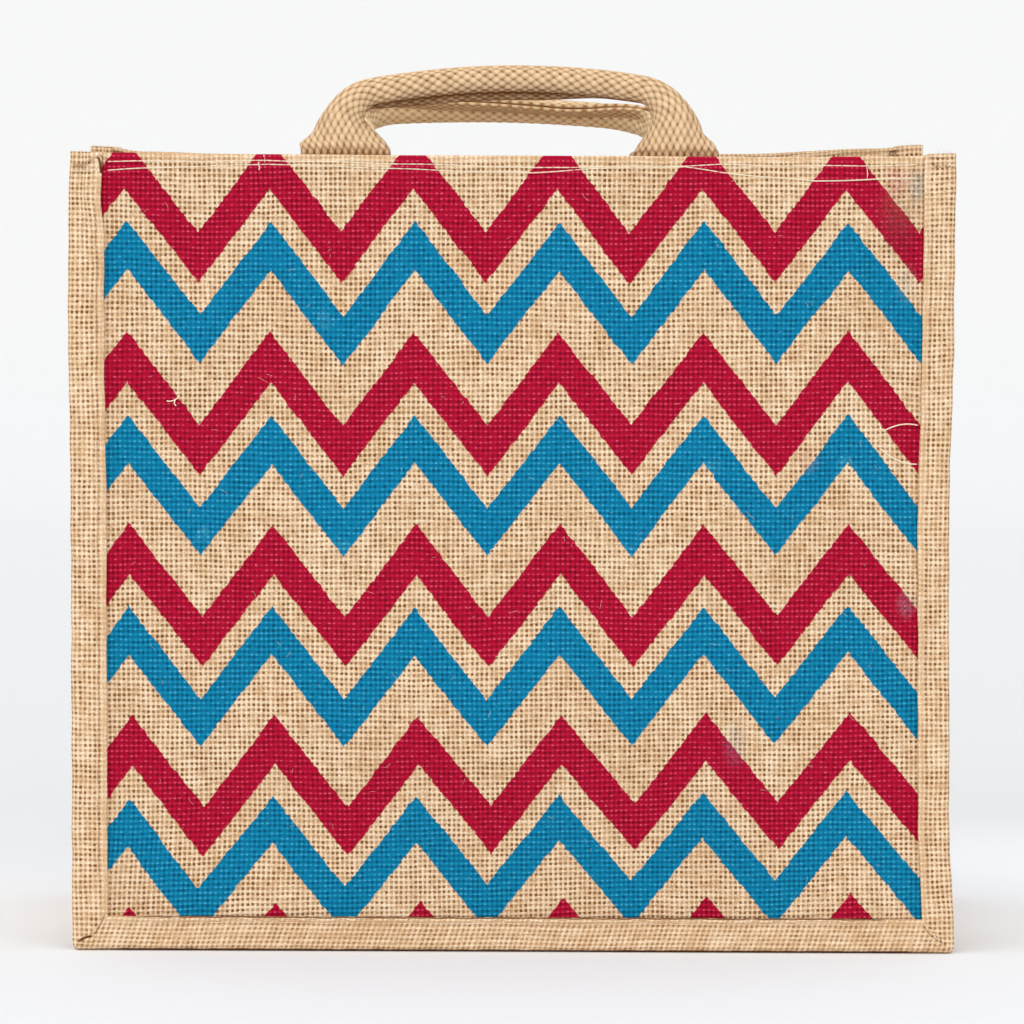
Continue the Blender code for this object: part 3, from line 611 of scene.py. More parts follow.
# %% [markdown]
# ## The two panels
# A panel is one sheet from its raw bottom edge up to the top fold and down again as a hem inside the bag. It
# could be a plane that is bent with modifiers. Here its profile is a row of places across the layers and
# heights, carried across the bag, and both faces are worked out from the same turn. Puckers where the hem is
# sewn and a slight cockle of the cloth are added to the depth.

# %% Panels
HEM_TURN = 9
HEM_FLAP = 9


def hem_line(layer_shift):
    """A hem from the foot of its fold over the half circle to its raw edge, for one face of the cloth."""
    turn = np.radians(np.linspace(180, 0, HEM_TURN))
    radius = GAP / 2 + layer_shift
    arc = np.stack([radius * np.cos(turn), radius * np.sin(turn)], axis=1)
    down = np.linspace(0, -(HEM_DEPTH - CLOTH - GAP / 2), HEM_FLAP + 1)[1:]
    flap = np.stack([np.full(HEM_FLAP, radius), down], axis=1)
    return np.concatenate([arc, flap])


def cockle(x, z):
    """Small unevenness of a panel's depth: slow waves, and a dent along the sewn hem."""
    slow = 0.22 * MM * waves(x, z, 0.034, 2.0) + 0.30 * MM * waves(x, z, 0.075, 5.0)
    slow = slow * ease(HALF_WIDTH - 0.014, HALF_WIDTH - 0.030, np.abs(x))
    dent = np.exp(-((z - 0.3145) / 0.004) ** 2) * (0.25 * MM + 0.12 * MM * np.sin(2 * math.pi * x / 0.0115))
    return slow - dent


def panel_sheet(name, side, material, seed):
    """A whole panel with its hem. side is -1 for the front and 1 for the back."""
    edge = HALF_WIDTH - RAW_EDGE
    columns = np.linspace(-edge, edge, 121)
    heights = np.linspace(RAW_EDGE, PANEL_FOLD, 112)[:-1]
    faces = []
    for shift in (CLOTH, 0.0):
        hem = hem_line(shift)
        layer = np.concatenate([np.full(len(heights), -(GAP / 2 + shift)), hem[:, 0]])
        level = np.concatenate([heights, PANEL_FOLD + hem[:, 1]])
        grid = np.stack(np.broadcast_arrays(
            columns[None, :], side * (SEAM - layer[:, None]), level[:, None]), axis=-1)
        settled = settle(grid)
        settled[..., 1] += side * cockle(grid[..., 0], grid[..., 2])
        faces.append(settled)
    outer, inner = faces
    last = len(heights) + HEM_TURN // 2
    threads = panel_threads(outer[..., 0], outer[..., 2], seed)
    beyond = (np.arange(len(level)) - last).clip(0) * (HEM_DEPTH / (HEM_TURN // 2 + HEM_FLAP)) / CROSSING_STEP
    threads[last:, :, 1] = threads[last, :, 1] + beyond[last:, None]
    openness = 0.92 - 0.72 * ease(0.3172, 0.3190, outer[..., 2] + 0.0012 * (outer[..., 1] > 0))
    openness += 0.10 * waves(outer[..., 0], outer[..., 2], 0.06, seed)
    keep = np.ones((len(level) - 1, len(columns) - 1), bool)
    middle = (columns[1:] + columns[:-1]) / 2
    keep[len(heights) + HEM_TURN - 1:, np.abs(middle) > PANEL_HEM_HALF] = False
    length = run_length(np.stack([layer, level], axis=1))[-1]
    sheet = closed_sheet(name, outer, inner, threads, material, keep, {"open": openness})
    return sheet, (2 * edge, length)


front_panel, front_flat = panel_sheet("front_panel_cloth", -1, front_jute, 0.7)
back_panel, back_flat = panel_sheet("back_panel_cloth", 1, back_jute, 3.1)
print("panels cut to", np.round(front_flat, 3), np.round(back_flat, 3))

# %% [markdown]
# ## The gusset
# One strip makes both sides and the bottom. Its long edges turn outwards into the seams, and its two short
# ends are hemmed. It is a cross-section carried along a route that goes down, along the floor and up. Soft
# troughs are pressed into the walls, where such a bag has been folded flat for storage.

# %% Gusset
def gusset_section(offset):
    """Across the strip for one face: seam allowance, quarter turn, wall, and the same again mirrored."""
    layer = SEAM - LAYER / 2
    turn_y = layer - GUSSET_TURN
    radius = GUSSET_TURN - offset
    seam = np.linspace(WALL_INSET - RAW_EDGE, GUSSET_TURN, 6)[:-1]
    turn = np.radians(np.linspace(270, 180, 5))
    wall = np.linspace(-GUSSET_HEM_HALF, 0, 29)
    out = np.concatenate([seam, GUSSET_TURN + radius * np.cos(turn), np.full(len(wall), offset)])
    y = np.concatenate([np.full(len(seam), -layer + offset), -turn_y + radius * np.sin(turn), wall])
    return np.concatenate([out, out[-2::-1]]), np.concatenate([y, -y[-2::-1]])


def gusset_route():
    """Places x and z down the left wall, round the corner and to the middle, with the way out, mirrored."""
    wall = HALF_WIDTH - WALL_INSET
    centre_x = wall - GUSSET_CORNER
    centre_z = WALL_INSET + GUSSET_CORNER
    down = np.linspace(GUSSET_FOLD - 0.001, centre_z, 82)[:-1]
    turn = np.radians(np.linspace(180, 270, 9))
    along = np.linspace(-centre_x, 0, 42)[1:]
    x = np.concatenate([np.full(len(down), -wall), -centre_x + GUSSET_CORNER * np.cos(turn), along])
    z = np.concatenate([down, centre_z + GUSSET_CORNER * np.sin(turn), np.full(len(along), WALL_INSET)])
    out_x = np.concatenate([np.full(len(down), -1.0), np.cos(turn), np.zeros(len(along))])
    out_z = np.concatenate([np.zeros(len(down)), np.sin(turn), np.full(len(along), -1.0)])
    half = np.stack([x, z, out_x, out_z], axis=1)
    return np.concatenate([half, half[-2::-1] * (-1, 1, -1, 1)])


def wall_troughs(y, z):
    """Soft storage creases of a side wall: bell-shaped troughs along an upright and two slanting lines."""
    fade = ease(0.080, 0.060, np.abs(y)) * ease(0.030, 0.070, z)
    upright = 1.4 * MM * np.exp(-((y - 0.004 * np.sin(z / 0.05)) / 0.007) ** 2) * ease(0.31, 0.25, z)
    slant = 1.1 * MM * np.exp(-((z - 0.115 - 0.55 * np.abs(y)) / 0.009) ** 2)
    return fade * (upright + slant + 0.35 * MM * waves(y, z, 0.045, 1.1))


def gusset_sheet(material):
    """The whole strip with its two hems."""
    route = gusset_route()
    faces = []
    for offset, shift in ((CLOTH / 2, CLOTH), (-CLOTH / 2, 0.0)):
        out, y = gusset_section(offset)
        x = route[:, :1] + route[:, 2:3] * out
        z = route[:, 1:2] + route[:, 3:4] * out
        strip = np.stack([x, np.broadcast_to(y, x.shape), z], axis=-1)
        hem = hem_line(shift)
        hem_x = -(HALF_WIDTH - WALL_INSET - LAYER / 2 - hem[:, 0])
        left = np.stack(np.broadcast_arrays(hem_x[:, None], y, GUSSET_FOLD + hem[:, 1:2]), axis=-1)
        grid = np.concatenate([left[::-1], strip, left * (-1, 1, 1)])
        settled = settle(grid)
        wall = ease(0.150, 0.160, np.abs(grid[..., 0]))
        settled[..., 0] -= np.sign(grid[..., 0]) * wall * wall_troughs(grid[..., 1], grid[..., 2])
        faces.append(settled)
    outer, inner = faces
    across = run_length(np.stack([out, y], axis=1))
    along = run_length(outer[:, len(across) // 2])
    threads = np.stack(np.broadcast_arrays(
        across[None, :] / UPRIGHT_STEP, along[:, None] / CROSSING_STEP), axis=-1).copy()
    threads[..., 0] += 0.3 * waves(along[:, None], across[None, :], 0.10, 2.0)
    threads[..., 1] += 0.4 * waves(along[:, None], across[None, :], 0.13, 0.4)
    keep = np.ones((len(along) - 1, len(across) - 1), bool)
    seam = np.abs(y[1:] + y[:-1]) / 2 > GUSSET_HEM_HALF
    keep[:len(hem), seam] = False
    keep[-len(hem):, seam] = False
    openness = 0.9 + 0.1 * waves(along[:, None], across[None, :], 0.06, 1.0)
    sheet = closed_sheet("gusset_cloth", outer, inner, threads, material, keep, {"open": openness})
    return sheet, (across[-1], along[-1])


gusset, gusset_flat = gusset_sheet(back_jute)
print("gusset cut to", np.round(gusset_flat, 3))

# %% [markdown]
# ## The bindings
# Raw jute frays, so each seam is wrapped in a folded strip that makes the frame of the bag. On its front leg
# the strip's own edge is turned under, which leaves a smooth roll beside a sewn groove. The strip is a closed
# profile carried down, along and up, with mitred corners. Its threads are raised in the mesh, because the
# frame is the bag's outline. The slits and folds of the corners, the turned-in ends, the sewing holes, the
# underside of the bottom edge and the inner edge of the bottom flange get lines of painted shade: the mesh
# keeps how far each point is from such a line, so the material can draw it sharp.

# %% Binding profile and route
BINDING_STEPS = {
    "left": (1.99 * MM, 2.13 * MM), "bottom": (1.83 * MM, 2.10 * MM), "right": (1.94 * MM, 2.09 * MM)}
BINDING_REACH = {"left": 0.0146, "bottom": 0.0139, "right": 0.0127}
BINDING_HALF = 2 * CLOTH + 1.5 * GAP
BACK_REACH = 0.0115
FOLD_POINT = 20         # which point of the profile is in the middle of the fold
MITRE_HIGH = 0.030      # the mitres begin here on the sides, and end here from the middle of the bottom
MITRE_ALONG = 0.156
# Lines of painted shade on the front frame: darkness, half width and step of the dots (0 for none), and
# points x, z, all in millimetres. They shade the slit and the fold of the mitres, the turned-in ends, the
# sewing holes, the underside of the bottom edge and the inner edge of the bottom flange.
FRAME_LINES = (
    (0.75, 0.32, 0, ((-169.4, 6.2), (-168.0, 7.2), (-166.4, 9.2), (-165.2, 12.0), (-164.2, 14.8))),
    (1.30, 0.55, 0, ((-175.2, 3.4), (-174.2, 4.0), (-172.4, 5.2), (-169.4, 6.0))),
    (0.45, 0.45, 0, ((164.8, 12.0), (168.0, 7.6), (171.5, 5.2), (174.5, 3.4))),
    (0.50, 1.10, 0, ((-176.0, 316.0), (-173.4, 315.8), (-170.5, 316.8), (-166.8, 319.4))),
    (0.75, 0.50, 1.9, ((-175.8, 313.6), (-171.0, 313.2), (-166.4, 314.2))),
    (1.10, 0.55, 0, ((-166.2, 319.8), (-165.0, 318.8), (-164.5, 317.0), (-164.3, 313.0))),
    (0.80, 0.45, 2.0, ((166.0, 319.3), (170.0, 319.5), (175.4, 318.9))),
    (1.10, 0.50, 2.0, ((167.6, 315.9), (172.0, 316.1), (176.6, 315.7))),
    (0.70, 0.45, 2.13, ((-166.6, 308.0), (-166.4, 200.0), (-166.3, 100.0), (-166.6, 20.0))),
    (0.45, 0.40, 2.09, ((167.6, 310.0), (166.4, 200.0), (166.0, 100.0), (167.0, 20.0))),
    (0.50, 0.35, 2.10, ((-162.0, 11.2), (0.0, 11.0), (164.0, 11.2))),
    (1.00, 0.80, 0, ((-173.5, 0.2), (0.0, 0.2), (175.5, 0.2))),
    (0.90, 0.30, 0, ((-161.5, 13.9), (0.0, 13.8), (163.0, 13.9))),
)


def resample(line, count):
    """count points at equal lengths along a line of points."""
    length = run_length(line)
    places = np.linspace(0, length[-1], count)
    return np.stack([np.interp(places, length, line[:, axis]) for axis in range(line.shape[1])], axis=1)


def binding_profile(reach):
    """Across the strip for both faces: the rolled edge and groove, the fold, and the back leg."""
    half = BINDING_HALF
    inside = half - CLOTH
    roll = np.array([
        (0.0, -half + 0.0004), (0.0001, -half - 0.0003), (-0.0003, -half - 0.0009), (-0.0010, -half - 0.0012),
        (-0.0018, -half - 0.0010), (-0.0026, -half - 0.0003), (-0.0034, -half - 0.0006),
        (-0.0060, -half - 0.0007), (-0.0085, -half - 0.0001)]) + (reach, 0)
    under = np.array([
        (0.0, -inside), (-0.0014, -inside), (-0.0060, -inside), (-0.0085, -inside)]) + (reach, 0)
    turn = np.radians(np.linspace(90, -90, 10))
    sides = []
    for front, radius, back in ((roll, half, BACK_REACH - 0.0002), (under, inside, BACK_REACH)):
        fold = np.stack([half - radius * np.cos(turn), -radius * np.sin(turn)], axis=1)
        front = resample(np.concatenate([front, fold[:1]]), 16)[:-1]
        rear = resample(np.array([fold[-1], (back, radius)]), 7)[1:]
        sides.append(np.concatenate([front, fold, rear]))
    return sides


def binding_rows():
    """Rows of the strip: the heights down a side, the shares of a mitre, and the places along the bottom."""
    side = np.linspace(HEIGHT, MITRE_HIGH, 390)
    mitre = np.linspace(0, 1, 34)
    bottom = np.linspace(-MITRE_ALONG, MITRE_ALONG, 420)
    return side, mitre, bottom


# %% Binding sheets
def signed_way(x, z, points):
    """Distance from a line of points, positive on one side, and the share along it of the nearest place."""
    points = np.array(points) * MM
    best = np.full(x.shape, 1.0)
    way = np.zeros(x.shape)
    share = np.zeros(x.shape)
    length = run_length(points)
    for number, (start, end) in enumerate(zip(points[:-1], points[1:])):
        step = end - start
        part = np.clip(((x - start[0]) * step[0] + (z - start[1]) * step[1]) / (step @ step), 0, 1)
        off_x = x - start[0] - part * step[0]
        off_z = z - start[1] - part * step[1]
        away = np.hypot(off_x, off_z)
        nearer = away < best
        best = np.where(nearer, away, best)
        way = np.where(nearer, away * np.sign(step[0] * off_z - step[1] * off_x), way)
        share = np.where(nearer, (length[number] + part * math.hypot(*step)) / length[-1], share)
    return way, share


def round_corners(points, radius=0.0026):
    """Pulls the two lower corners in: past the centre of a quarter circle, a place keeps its larger share."""
    x, y, z = np.moveaxis(points, -1, 0)
    past_x = (np.abs(x) - (HALF_WIDTH - radius)).clip(0)
    past_z = (radius - z).clip(0)
    squeeze = np.maximum(past_x, past_z) / np.maximum(np.hypot(past_x, past_z), 1e-9)
    squeeze = np.where((past_x > 0) & (past_z > 0), squeeze, 1)
    new_x = np.sign(x) * (np.abs(x) - past_x * (1 - squeeze))
    return np.stack([new_x, y, z + past_z * (1 - squeeze)], axis=-1)


def binding_sheet(name, side, material):
    """A strip folded round one seam, its threads raised, its corners mitred and its lines of painted shade
    marked.
    """
    down, mitre, along = binding_rows()
    profiles = {run: binding_profile(reach) for run, reach in BINDING_REACH.items()}
    faces = []
    for face in (0, 1):
        left, bottom, right = (profiles[run][face] for run in ("left", "bottom", "right"))
        narrow = np.where(down > 0.2, 0.0015 * ease(0.288, 0.306, down), 0)
        narrow = narrow[:, None] * ease(0.004, 0.010, left[:, 0])
        shares = mitre[1:, None]
        blocks = []
        for sign, leg, trim in ((-1, left, narrow), (1, right, 0 * narrow)):
            x = sign * (HALF_WIDTH - leg[:, 0] + 0 * down[:, None] + trim)
            z = down[:, None] + 0 * leg[:, 0]
            straight = np.stack(np.broadcast_arrays(x, side * (SEAM - leg[:, 1]), z), axis=-1)
            corner_z = MITRE_HIGH * (1 - shares) + bottom[:, 0] * shares
            corner = np.stack(np.broadcast_arrays(
                sign * (HALF_WIDTH - leg[:, 0]), side * (SEAM - leg[:, 1]), corner_z), axis=-1)
            foot_x = sign * ((HALF_WIDTH - leg[:, 0]) * (1 - shares) + MITRE_ALONG * shares)
            foot = np.stack(np.broadcast_arrays(foot_x, side * (SEAM - bottom[:, 1]), bottom[:, 0]), axis=-1)
            blocks.append((np.concatenate([straight, corner]), foot))
        flat = np.stack(np.broadcast_arrays(
            along[1:-1, None], side * (SEAM - bottom[:, 1]), bottom[:, 0]), axis=-1)
        faces.append(np.concatenate([
            blocks[0][0], blocks[0][1], flat, blocks[1][1][::-1], blocks[1][0][::-1]]))
    square = faces[0]
    rows = len(square)
    upto = len(down) + len(mitre) - 1
    cells = np.full(rows - 1, "bottom", dtype=object)
    cells[:upto - 1] = "left"
    cells[rows - upto:] = "right"
    counts = []
    for shift in (0, 1):
        points = square[shift:rows - 1 + shift]
        pair = np.zeros(points.shape[:2] + (2,))
        for run, (across_step, along_step) in BINDING_STEPS.items():
            rowset = cells == run
            profile = profiles[run][0]
            place = run_length(profile) - run_length(profile)[FOLD_POINT]
            travel = points[rowset][..., 0 if run == "bottom" else 2]
            lean = 0.32 * (place - 0.006) * (run == "bottom")
            pair[rowset, :, 0] = place / across_step
            pair[rowset, :, 1] = (travel + lean) / along_step
        pair[..., 0] += 0.25 * waves(points[..., 0], points[..., 2], 0.09, 3.0 + side)
        pair[..., 1] += 0.30 * waves(points[..., 0], points[..., 2], 0.07, 1.0 + side)
        counts.append(pair)
    relief = weave_relief(*np.moveaxis(np.concatenate([counts[0], counts[1][-1:]]), -1, 0)) - 0.5
    outer, inner = (settle(round_corners(points)) for points in faces)
    normal = outward(outer, inner)
    x, z = outer[..., 0], outer[..., 2]
    line_way = np.full(x.shape, 9.0)
    line_shade_and_depth = np.zeros(x.shape)
    if side < 0:
        # Each line is painted shade on the cloth near it; its strength also sinks a groove in the mesh.
        for painted_darkness, half_width, dots, points in FRAME_LINES:
            way, share = signed_way(x, z, points)
            way = (way + 0.25 * MM * waves(x, z, 0.011, 4.0)) / (half_width * MM)
            nearer = np.abs(way) < np.abs(line_way)
            line_way = np.where(nearer, way, line_way)
            strength = painted_darkness * ease(0, 0.06, share) * ease(1, 0.94, share)
            if dots:
                strength = strength * ease(-0.2, 0.7, np.sin(2 * math.pi * (x + z) / (dots * MM)))
            line_shade_and_depth = np.where(nearer, strength, line_shade_and_depth)
    groove = np.exp(-(line_way / 1.6) ** 2) * line_shade_and_depth
    lift = 0.15 * MM * relief - 0.25 * MM * groove
    lift = lift * ease(0.0, 0.0008, outer[..., 2])
    uneven = 0.25 * MM * waves(x, z, 0.024, 6.0 + side)[..., None] * (1, 0, 1)
    uneven = uneven * ease(0.006, 0.020, z)[..., None]
    outer = outer + normal * lift[..., None] + uneven
    inner = inner + uneven
    place = run_length(profiles["left"][0])
    band = 0.0034 + 0.0008 * waves(x, z, 0.021, 5.0 + side)
    off_fold = np.abs(place - place[FOLD_POINT])
    rolled = ease(band, band + 0.0010, place[None, :]) * ease(0.0006, 0.0022, off_fold)[None, :]
    low = (np.abs(x) < HALF_WIDTH - z) * ease(0.0165, 0.0150, z)
    openness = 0.10 + rolled * (0.78 + 0.22 * waves(x, z, 0.03, 2.0)) * (1 - 0.35 * low)
    numbers = {"line_way": line_way, "line_shade_and_depth": line_shade_and_depth, "open": openness}
    sheet = closed_sheet(name, outer, inner, tuple(counts), material, numbers=numbers)
    return sheet, (place[-1], 2 * HEIGHT + 2 * HALF_WIDTH)


def binding_jute(name):
    """Natural jute with lines of painted shade where the mesh says that a fold, slit or edge is near."""
    material, tree, shader = new_material(name, 0.85, 0.0)
    weave = jute_weave(tree)
    way = add(tree, "Attribute", output=2, attribute_name="line_way")
    dark = add(tree, "Attribute", output=2, attribute_name="line_shade_and_depth")
    near = add(tree, "MapRange", (add(tree, "Math ABSOLUTE", (way,)), 0.3, 1.3, 1.0, 0.0))
    share = add(tree, "Math MULTIPLY", (near, dark))
    # Painted shade: the lines darken the weave towards a dark brown.
    colour = add(tree, "Mix", {"Factor": share, 6: weave["natural"], 7: linear("6B3D16")}, **COLOUR)
    finish_weave(tree, shader, colour, weave, 0.30 * MM)
    return material


edge_jute = binding_jute("folded_jute_strip")
front_binding, front_binding_flat = binding_sheet("front_binding_cloth", -1, edge_jute)
back_binding, back_binding_flat = binding_sheet("back_binding_cloth", 1, edge_jute)
print("bindings cut to", np.round(front_binding_flat, 3))

# %% [markdown]
# ## The handles
# Each handle is one length of cotton webbing, 36 mm wide. Its feet lie flat inside the hem. Above the bag it
# rolls up, and along the grip its two edges are sewn together as a lip. The webbing is carried along a route
# as a profile whose bend grows from flat to an open C to a closed tube. It is woven with heavy yarns that
# stand up as rows of oval pebbles, each row half a step on from the last. The pebbles are raised in the mesh.

# %% Handle shape
WEBBING_WIDTH = 0.036
TUBE_RADIUS = 0.0043    # grip tube, to the middle of the webbing
LIP_RADIUS = 0.0015     # where the webbing turns out of the tube into the sewn lip
CLOSED_LIP = (WEBBING + GAP) / 2
FOOT_DEPTH = 0.022
BEND_START = HEIGHT + 0.0003
BEND_RADIUS = 0.009     # bend from the upright foot into the leaning grip
ARCH_RISE = 0.0328      # middle of the grip above BEND_START, measured along the webbing
GRIP_RADIUS = 0.290     # the grip is a shallow arc
PEBBLE_ACROSS = 2.80 * MM
PEBBLE_ALONG = (2.34 * MM, 2.84 * MM)
FOOT_BEND = 0.007       # a foot that stands aside reaches its leg over this length
LIP_START = 0.0122      # where the sewn lip begins, from the middle of the width
# Up a leg from the top fold: how far its two edges are rolled up, and how far it is sewn shut.
WIDE_CURL = np.array([
    # length  outer  inner  sewn
    (0.0005, 0.00, 0.00, 0.0), (0.0063, 0.22, 0.17, 0.0), (0.0111, 0.48, 0.38, 0.0),
    (0.0147, 0.62, 0.56, 0.0), (0.0190, 0.84, 0.80, 0.0), (0.0240, 0.90, 0.88, 0.2),
    (0.0330, 0.92, 0.92, 1.0)])
NARROW_CURL = np.array([
    (-0.003, 0.00, 0.00, 0.0), (0.0005, 0.04, 0.20, 0.0), (0.0030, 0.14, 0.28, 0.0),
    (0.0074, 0.28, 0.42, 0.0), (0.0111, 0.48, 0.58, 0.0), (0.0147, 0.57, 0.72, 0.0),
    (0.0190, 0.76, 0.85, 0.0), (0.0240, 0.87, 0.89, 0.2), (0.0330, 0.92, 0.92, 1.0)])
EARLY_CURL = np.array([
    (-0.008, 0.00, 0.00, 0.0), (0.0000, 0.38, 0.38, 0.0), (0.0040, 0.60, 0.60, 0.0),
    (0.0090, 0.80, 0.80, 0.0), (0.0160, 0.90, 0.90, 0.3), (0.0260, 0.92, 0.92, 1.0)])
# The left and the right half of each handle have their own turn of the lip, length of the grip, bend between
# grip and leg, foot that stands aside, and curl. The lip turns between the two places of "turning".
HANDLES = {
    "front_handle": dict(
        side=-1, middle=-0.0019, lean=math.radians(23), tilt=0.014, turning=(0.008, 0.042),
        lip_turns=np.radians((25, 3)), grips=(0.0537, 0.0537), corners=(0.0160, 0.0160), feet=(0.0015, 0.0),
        curls=(WIDE_CURL, NARROW_CURL)),
    "back_handle": dict(
        side=1, middle=0.0029, lean=math.radians(62.5), tilt=-0.065, turning=(-0.0500, 0.0366),
        lip_turns=np.radians((36, 52)), grips=(0.0500, 0.0366), corners=(0.0220, 0.0360), feet=(0.0, 0.0),
        curls=(EARLY_CURL, EARLY_CURL)),
}


def webbing_halves(places, rolled, sewn):
    """Half of the webbing seen end on, for every row: the heading is summed up from the middle outwards.

    The heading of the C is an even share of a half turn, and that of the tube a round part and a turn back.
    """
    lip_turn = math.pi - math.asin((CLOSED_LIP + LIP_RADIUS) / (TUBE_RADIUS + LIP_RADIUS))
    round_length = TUBE_RADIUS * lip_turn
    turn_length = LIP_RADIUS * (lip_turn - math.pi / 2)
    fine = np.linspace(0, WEBBING_WIDTH / 2, 721)
    tube = np.interp(fine, [0, round_length, round_length + turn_length], [0, lip_turn, math.pi / 2])
    heading = rolled[:, None] * math.pi * fine / fine[-1] * (1 - sewn[:, None]) + tube * sewn[:, None]
    halfway = (heading[:, 1:] + heading[:, :-1]) / 2
    start = np.zeros((len(rolled), 1))
    across = np.concatenate([start, np.cumsum(np.cos(halfway), axis=1)], axis=1) * fine[1]
    opening = np.concatenate([start, np.cumsum(np.sin(halfway), axis=1)], axis=1) * fine[1]
    pick = np.round(places / fine[1]).astype(int)
    return across[:, pick], opening[:, pick], heading[:, pick]


def pebbles(across, along):
    """Height of the webbing's pebbles, 0 to 1: the highest of the ovals in this row and the two beside it."""
    height = np.zeros(np.broadcast(across, along).shape)
    for row in (np.floor(along) - 1, np.floor(along), np.floor(along) + 1, np.floor(along) + 2):
        shifted = across - 0.5 * (row % 2)
        off = np.abs(shifted - np.round(shifted))
        oval = 1 - (off / 0.48) ** 1.8 - (np.abs(along - row) / 0.92) ** 1.6
        height = np.maximum(height, np.sqrt(oval.clip(0)))
    return height


def handle_sheet(name, material, shade, lip_shade, lighter, side, middle, lean, tilt, turning,
                 lip_turns, grips, corners, feet, curls):
    """One length of webbing from foot to foot, as two faces with raised pebbles.

    shade scales the painted shade in the hollow beside the lip and on the underside, lip_shade is painted
    shade on the lip, and lighter is painted light that lifts all of it.
    """
    grip_turns = np.array(grips) / GRIP_RADIUS
    ends = grips + corners * (math.pi / 2 - grip_turns)
    legs = ends + ARCH_RISE - GRIP_RADIUS * (1 - np.cos(grip_turns)) - corners * np.cos(grip_turns)
    lengths = np.linspace(-legs[0] - FOOT_DEPTH, legs[1] + FOOT_DEPTH, 520)
    run = np.abs(lengths)
    sign = np.sign(lengths)
    grip, corner, end, leg, foot, grip_turn = (
        np.where(lengths < 0, left, right)
        for left, right in (grips, corners, ends, legs, feet, grip_turns))
    turn = np.minimum(np.where(run < grip, run / GRIP_RADIUS, grip_turn + (run - grip) / corner), math.pi / 2)
    on_grip = np.minimum(turn, grip_turn)
    u = sign * (GRIP_RADIUS * np.sin(on_grip) + corner * (np.sin(turn) - np.sin(on_grip)))
    fall = GRIP_RADIUS * (1 - np.cos(on_grip)) + corner * (np.cos(on_grip) - np.cos(turn))
    v = ARCH_RISE - (fall + (run - end).clip(0))
    v = v + tilt * u * ease(0, ARCH_RISE, v)
    bend = np.clip(v / BEND_RADIUS, 0, lean)
    straight = (v - BEND_RADIUS * lean).clip(0)
    y = BEND_RADIUS * (1 - np.cos(bend)) + straight * math.sin(lean)
    z = BEND_RADIUS * np.sin(bend) + straight * math.cos(lean) + v.clip(max=0)
    foot_y = side * (SEAM - (CLOTH + GAP / 2) - GAP - WEBBING / 2)
    zero = np.zeros_like(u)
    aside = foot * ease(FOOT_BEND, 0, leg - run)
    route = np.stack([middle + u + aside, foot_y + y, BEND_START + z], axis=1)
    plane_up = np.stack([zero, np.sin(bend), np.cos(bend)], axis=1)
    plane_right = np.stack([zero + 1, zero, zero], axis=1)
    into_bag = side * np.stack([zero, -np.cos(bend), np.sin(bend)], axis=1)
    travel = plane_right * np.cos(turn)[:, None] - plane_up * (sign * np.sin(turn))[:, None]
    into_arch = -plane_right * (sign * np.sin(turn))[:, None] - plane_up * np.cos(turn)[:, None]
    lip_turn = lip_turns[0] + (lip_turns[1] - lip_turns[0]) * ease(*turning, lengths)
    turned = (lip_turn * ease(end, grip / 2, run))[:, None]
    opening = np.cos(turned) * into_bag + np.sin(turned) * into_arch
    width_way = np.cross(travel, opening)

    up_leg = leg - run
    curl = [np.where(sign < 0, np.interp(up_leg, curls[0][:, 0], curls[0][:, column]),
                     np.interp(up_leg, curls[1][:, 0], curls[1][:, column])) for column in (1, 2, 3)]
    first, second = (curl[1], curl[0]) if side < 0 else (curl[0], curl[1])
    places = np.linspace(0, WEBBING_WIDTH / 2, 41)
    ends = [webbing_halves(places, rolled, curl[2]) for rolled in (first, second)]
    across, towards, heading = (
        np.concatenate([flip * ends[0][part][:, :0:-1], ends[1][part]], axis=1)
        for part, flip in ((0, -1), (1, 1), (2, -1)))
    towards -= (TUBE_RADIUS * (first + second) / 2 * ease(0, 0.010, up_leg))[:, None]
    width = np.concatenate([-places[:0:-1], places])
    step = PEBBLE_ALONG[0] + (PEBBLE_ALONG[1] - PEBBLE_ALONG[0]) * ease(0.6 * grip, leg - 0.010, run)
    rows = np.cumsum((lengths[1] - lengths[0]) / step)
    flat = pebbles(width[None, :] / PEBBLE_ACROSS, rows[:, None])
    off_middle = np.abs(width)[None, :]
    closed = curl[2][:, None]
    # Painted shade in the hollow beside the sewn lip.
    painted_hollow_shade = shade * np.exp(-((off_middle - LIP_START) / 0.0017) ** 2) * closed
    edge = ease(WEBBING_WIDTH / 2, WEBBING_WIDTH / 2 - 0.0015, off_middle)
    faces = []
    for offset, height in ((WEBBING / 2, 0.60 * MM), (-WEBBING / 2, -0.30 * MM)):
        reach = offset + height * (flat * edge - 0.6)
        flat_part = (across + reach * np.sin(heading))[..., None] * width_way[:, None, :]
        deep_part = (towards - reach * np.cos(heading))[..., None] * opening[:, None, :]
        faces.append(settle(route[:, None, :] + flat_part + deep_part))
    threads = np.stack(np.broadcast_arrays(width[None, :] / PEBBLE_ACROSS, rows[:, None]), axis=-1)
    # Painted shade and light: the underside of the tube, the lip and the webbing by the bag's top edge are
    # darker, and each pebble is lighter on its upper side and darker on its lower side.
    under = shade * 0.26 * ease(0.0050, 0.0110, off_middle) * closed
    foot_shade = 0.35 * ease(0.0045, 0.0, np.abs(up_leg))[:, None]
    lip = ease(LIP_START, 0.0150, off_middle) * closed
    pebble_light_and_shade = 0.7 * np.gradient(flat, axis=1) * np.sign(width)[None, :] * (closed - lip)
    numbers = {"pebble": flat + lighter + pebble_light_and_shade - painted_hollow_shade - under - lip_shade * lip - foot_shade}
    sheet = closed_sheet(name + "_webbing", faces[0], faces[1], threads, material, numbers=numbers)
    return sheet, (WEBBING_WIDTH, lengths[-1] - lengths[0])


